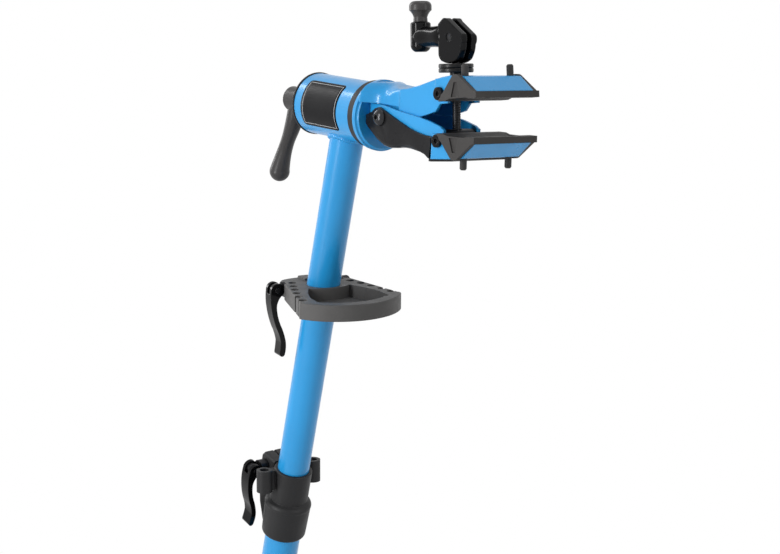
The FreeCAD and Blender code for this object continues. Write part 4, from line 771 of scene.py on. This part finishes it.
# Shapes of the small fasteners over their plain ends
HEAD_RADIUS = 0.0071
DOME_COLUMNS = 36
DOME_STEPS = 6
DOME_RISE = 0.0016
RIVET_RISE = 0.0011
RIVET_FLAT_RADIUS = 0.0004
SOCKET_FLAT = 0.0022
SOCKET_RIM = 1.25 * SOCKET_FLAT
SOCKET_FLOOR = 0.0002
NUT_FLAT = 0.0067
NUT_CORNER = 0.0076
NUT_HEIGHT = 0.0050
NUT_CHAMFER = 0.0006
STUD_END = 0.0040
STUD_SIDE_TOP = 0.0014
STUD_TOP = 0.0019
STUD_CHAMFER = 0.0005
SLEEVE_RADIUS = 0.0080
SLEEVE_LENGTH = 0.0078
SLEEVE_RIB = 0.0006
SLEEVE_RIBS = 18
SLEEVE_RIB_START = 0.0006
SLEEVE_RIB_END = -0.0012
SLEEVE_DOME_RISE = 0.0009
SLEEVE_DOME_FLAT = 0.0030


def dome_rows(radius, rise, inner):
    """A quarter of an ellipse from the rim of a head to its flat top."""
    rows = []
    for step in range(DOME_STEPS):
        turn = step * math.pi / (2 * (DOME_STEPS - 1))
        rows.append((round_reach(inner + (radius - inner) * math.cos(turn)), rise * math.sin(turn)))
    return rows


def add_socket_cap(name, where, body, steel):
    """A button head with a hexagonal socket."""
    rows = dome_rows(HEAD_RADIUS, DOME_RISE, SOCKET_RIM)
    rows.append((hexagon_reach(SOCKET_FLAT), DOME_RISE))
    rows.append((hexagon_reach(SOCKET_FLAT), SOCKET_FLOOR))
    lathe_piece(name, rows, DOME_COLUMNS, where, steel, body)


def add_rivet_cap(name, where, body, steel):
    rows = dome_rows(HEAD_RADIUS, RIVET_RISE, RIVET_FLAT_RADIUS)
    lathe_piece(name, rows, DOME_COLUMNS, where, steel, body)


def add_hexagon_nut(name, where, body, steel):
    """A chamfered nut that stands down over a plain round one, with the bolt's end in it."""
    flat = hexagon_reach(NUT_FLAT)
    rows = (
        (lambda angle: min(flat(angle), NUT_CORNER), -NUT_HEIGHT),
        (lambda angle: min(flat(angle), NUT_CORNER), 0.0),
        (round_reach(NUT_FLAT - NUT_CHAMFER), NUT_CHAMFER),
        (round_reach(STUD_END), NUT_CHAMFER),
        (round_reach(STUD_END), STUD_SIDE_TOP),
        (round_reach(STUD_END - STUD_CHAMFER), STUD_TOP),
    )
    lathe_piece(name, rows, DOME_COLUMNS, where, steel, body)


def add_ribbed_sleeve(name, where, body, steel):
    """A thumb nut's ribs round its plain solid, with a domed end."""
    def ribbed(angle):
        return SLEEVE_RADIUS + SLEEVE_RIB * max(0.0, math.cos(SLEEVE_RIBS * angle)) ** 0.5

    rows = [
        (round_reach(SLEEVE_RADIUS), -SLEEVE_LENGTH),
        (ribbed, -SLEEVE_LENGTH + SLEEVE_RIB_START),
        (ribbed, SLEEVE_RIB_END),
    ]
    rows += dome_rows(SLEEVE_RADIUS, SLEEVE_DOME_RISE, SLEEVE_DOME_FLAT)
    lathe_piece(name, rows, 8 * SLEEVE_RIBS, where, steel, body)


def add_fasteners(steel):
    for name, side in (("left", 1), ("right", -1)):
        swung = Matrix.Rotation(MAST_LEAN, 3, "Y") @ Matrix.Rotation(side * LEG_AZIMUTH, 3, "Z")
        fold_side = swung @ MAST_SIDE
        bolt_end = standing_on(outer_end("leg_bolts", fold_side, side), fold_side)
        add_socket_cap("leg_bolt_cap_" + name, bolt_end, "leg_collar", steel)
        nut_end = standing_on(outer_end("leg_bolts", -fold_side, side), -fold_side)
        add_hexagon_nut("leg_bolt_nut_" + name, nut_end, "leg_collar", steel)
        outward = side * fold_side
        bracket_end = standing_on(outer_end("bracket_bolts", outward, side), outward)
        add_socket_cap("bracket_bolt_cap_" + name, bracket_end, "base", steel)
        rivet_end = standing_on(outer_end("brace_rivet_" + name, outward), outward)
        add_rivet_cap("brace_rivet_cap_" + name, rivet_end, "brace_" + name, steel)
    tray_side = Matrix.Rotation(TRAY_TURN, 3, "Z") @ MAST_SIDE
    skewers = (
        ("height_skewer", "base", MAST_SIDE),
        ("leg_skewer", "leg_collar", MAST_SIDE),
        ("tray_skewer", "tray", tray_side),
    )
    for name, body, direction in skewers:
        add_ribbed_sleeve(name + "_sleeve", standing_on(outer_end(name, direction), direction), body, steel)


# Surroundings
FLOOR_HALF = 30.0
FLOOR_NOISE = (1.3, 2.0)
FLOOR_SHADES = ((0.80, 0.80, 0.80), (0.84, 0.84, 0.84))
SHADOW_NEAR = 0.45
SHADOW_FAR = 1.5
SHADOW_WHITE = 0.5

# Softboxes: name, place in metres, width and height in metres, power in watts
SOFTBOXES = (
    ("key_light", (0.2, -2.6, 1.6), (0.4, 2.4), 66),
    ("fill_light", (2.9, 0.9, 1.9), (0.3, 1.9), 18),
    ("top_light", (0.7, 0.3, 3.3), (1.2, 1.2), 12),
    ("rim_light", (-1.8, -0.6, 2.0), (0.3, 1.9), 18),
)


def seen_rays(tree):
    """1 for rays from the camera, mirrors and glass, and 0 for the rays that light the stand."""
    rays = tree.nodes.new("ShaderNodeLightPath")
    seen = worked(tree, "MAXIMUM", rays.outputs["Is Camera Ray"], rays.outputs["Is Glossy Ray"])
    return worked(tree, "MAXIMUM", seen, rays.outputs["Is Transmission Ray"])


def white_floor():
    """A pale floor that keeps the soft shadow round the stand and runs out into even white."""
    material, tree, shader = empty_material("floor_white")
    tree.links.new(between(tree, noise(tree, *FLOOR_NOISE), FLOOR_SHADES), shader.inputs["Base Color"])
    shader.inputs["Roughness"].default_value = 0.9
    shader.inputs["Specular IOR Level"].default_value = 0.1
    place = tree.nodes.new("ShaderNodeTexCoord")
    distance = tree.nodes.new("ShaderNodeVectorMath")
    distance.operation = "LENGTH"
    tree.links.new(place.outputs["Object"], distance.inputs[0])
    white = spread(tree, distance.outputs["Value"], SHADOW_WHITE, 1.0, SHADOW_NEAR, SHADOW_FAR)
    glow = tree.nodes.new("ShaderNodeEmission")
    glow.inputs["Color"].default_value = (1, 1, 1, 1)
    mix = tree.nodes.new("ShaderNodeMixShader")
    output = next(node for node in tree.nodes if node.type == "OUTPUT_MATERIAL")
    tree.links.new(worked(tree, "MULTIPLY", seen_rays(tree), white), mix.inputs["Fac"])
    tree.links.new(shader.outputs["BSDF"], mix.inputs[1])
    tree.links.new(glow.outputs["Emission"], mix.inputs[2])
    tree.links.new(mix.outputs["Shader"], output.inputs["Surface"])
    half = FLOOR_HALF
    corners = [(-half, -half, 0), (half, -half, 0), (half, half, 0), (-half, half, 0)]
    mesh_piece("floor", corners, [(0, 1, 2, 3)], material)


def soft_world():
    """Even daylight that the camera and glossy surfaces see as white."""
    world = bpy.data.worlds.new("studio")
    bpy.context.scene.world = world
    world.use_nodes = True
    tree = world.node_tree
    background = tree.nodes["Background"]
    background.inputs["Color"].default_value = (1, 1, 1, 1)
    tree.links.new(spread(tree, seen_rays(tree), WORLD_LIGHT, 1.0, 0.0, 1.0), background.inputs["Strength"])


def softbox(name, place, size, power):
    """A large lamp that faces the clamp head."""
    lamp = bpy.data.lights.new(name, "AREA")
    lamp.shape = "RECTANGLE"
    lamp.size, lamp.size_y = size
    lamp.energy = power
    holder = bpy.data.objects.new(name, lamp)
    holder.location = place
    holder.rotation_euler = (HEAD_POINT - Vector(place)).to_track_quat("-Z", "Y").to_euler()
    bpy.context.scene.collection.objects.link(holder)


def photo_camera():
    """The photograph's camera, from the fitted direction, roll and focal length."""
    right = Vector((math.cos(CAMERA_AZIMUTH), math.sin(CAMERA_AZIMUTH), 0))
    back = Vector((
        math.sin(CAMERA_AZIMUTH) * math.cos(CAMERA_ELEVATION),
        -math.cos(CAMERA_AZIMUTH) * math.cos(CAMERA_ELEVATION),
        math.sin(CAMERA_ELEVATION),
    ))
    up = back.cross(right)
    rolled_right = math.cos(CAMERA_ROLL) * right + math.sin(CAMERA_ROLL) * up
    rolled_up = -math.sin(CAMERA_ROLL) * right + math.cos(CAMERA_ROLL) * up
    lens = bpy.data.cameras.new("photo_camera")
    lens.sensor_fit = "HORIZONTAL"
    lens.sensor_width = SENSOR_WIDTH
    lens.lens = CAMERA_FOCAL_PIXELS * SENSOR_WIDTH / IMAGE_WIDTH
    lens.clip_end = 100.0
    camera = bpy.data.objects.new("photo_camera", lens)
    camera.matrix_world = Matrix.Translation(HEAD_POINT + CAMERA_FROM_HEAD) @ Matrix(
        (rolled_right, rolled_up, back)
    ).transposed().to_4x4()
    bpy.context.scene.collection.objects.link(camera)
    bpy.context.scene.camera = camera


finishes = dress_nodes()
add_clamp_arm(finishes["cast_black"])
add_label()
add_cap_rim(finishes["textured_plastic"])
add_weld(finishes["tube_paint"])
add_rod_thread(finishes["black_oxide"])
add_fasteners(finishes["black_oxide"])
white_floor()
soft_world()
for box in SOFTBOXES:
    softbox(*box)
photo_camera()
bpy.context.scene.view_settings.view_transform = "Standard"
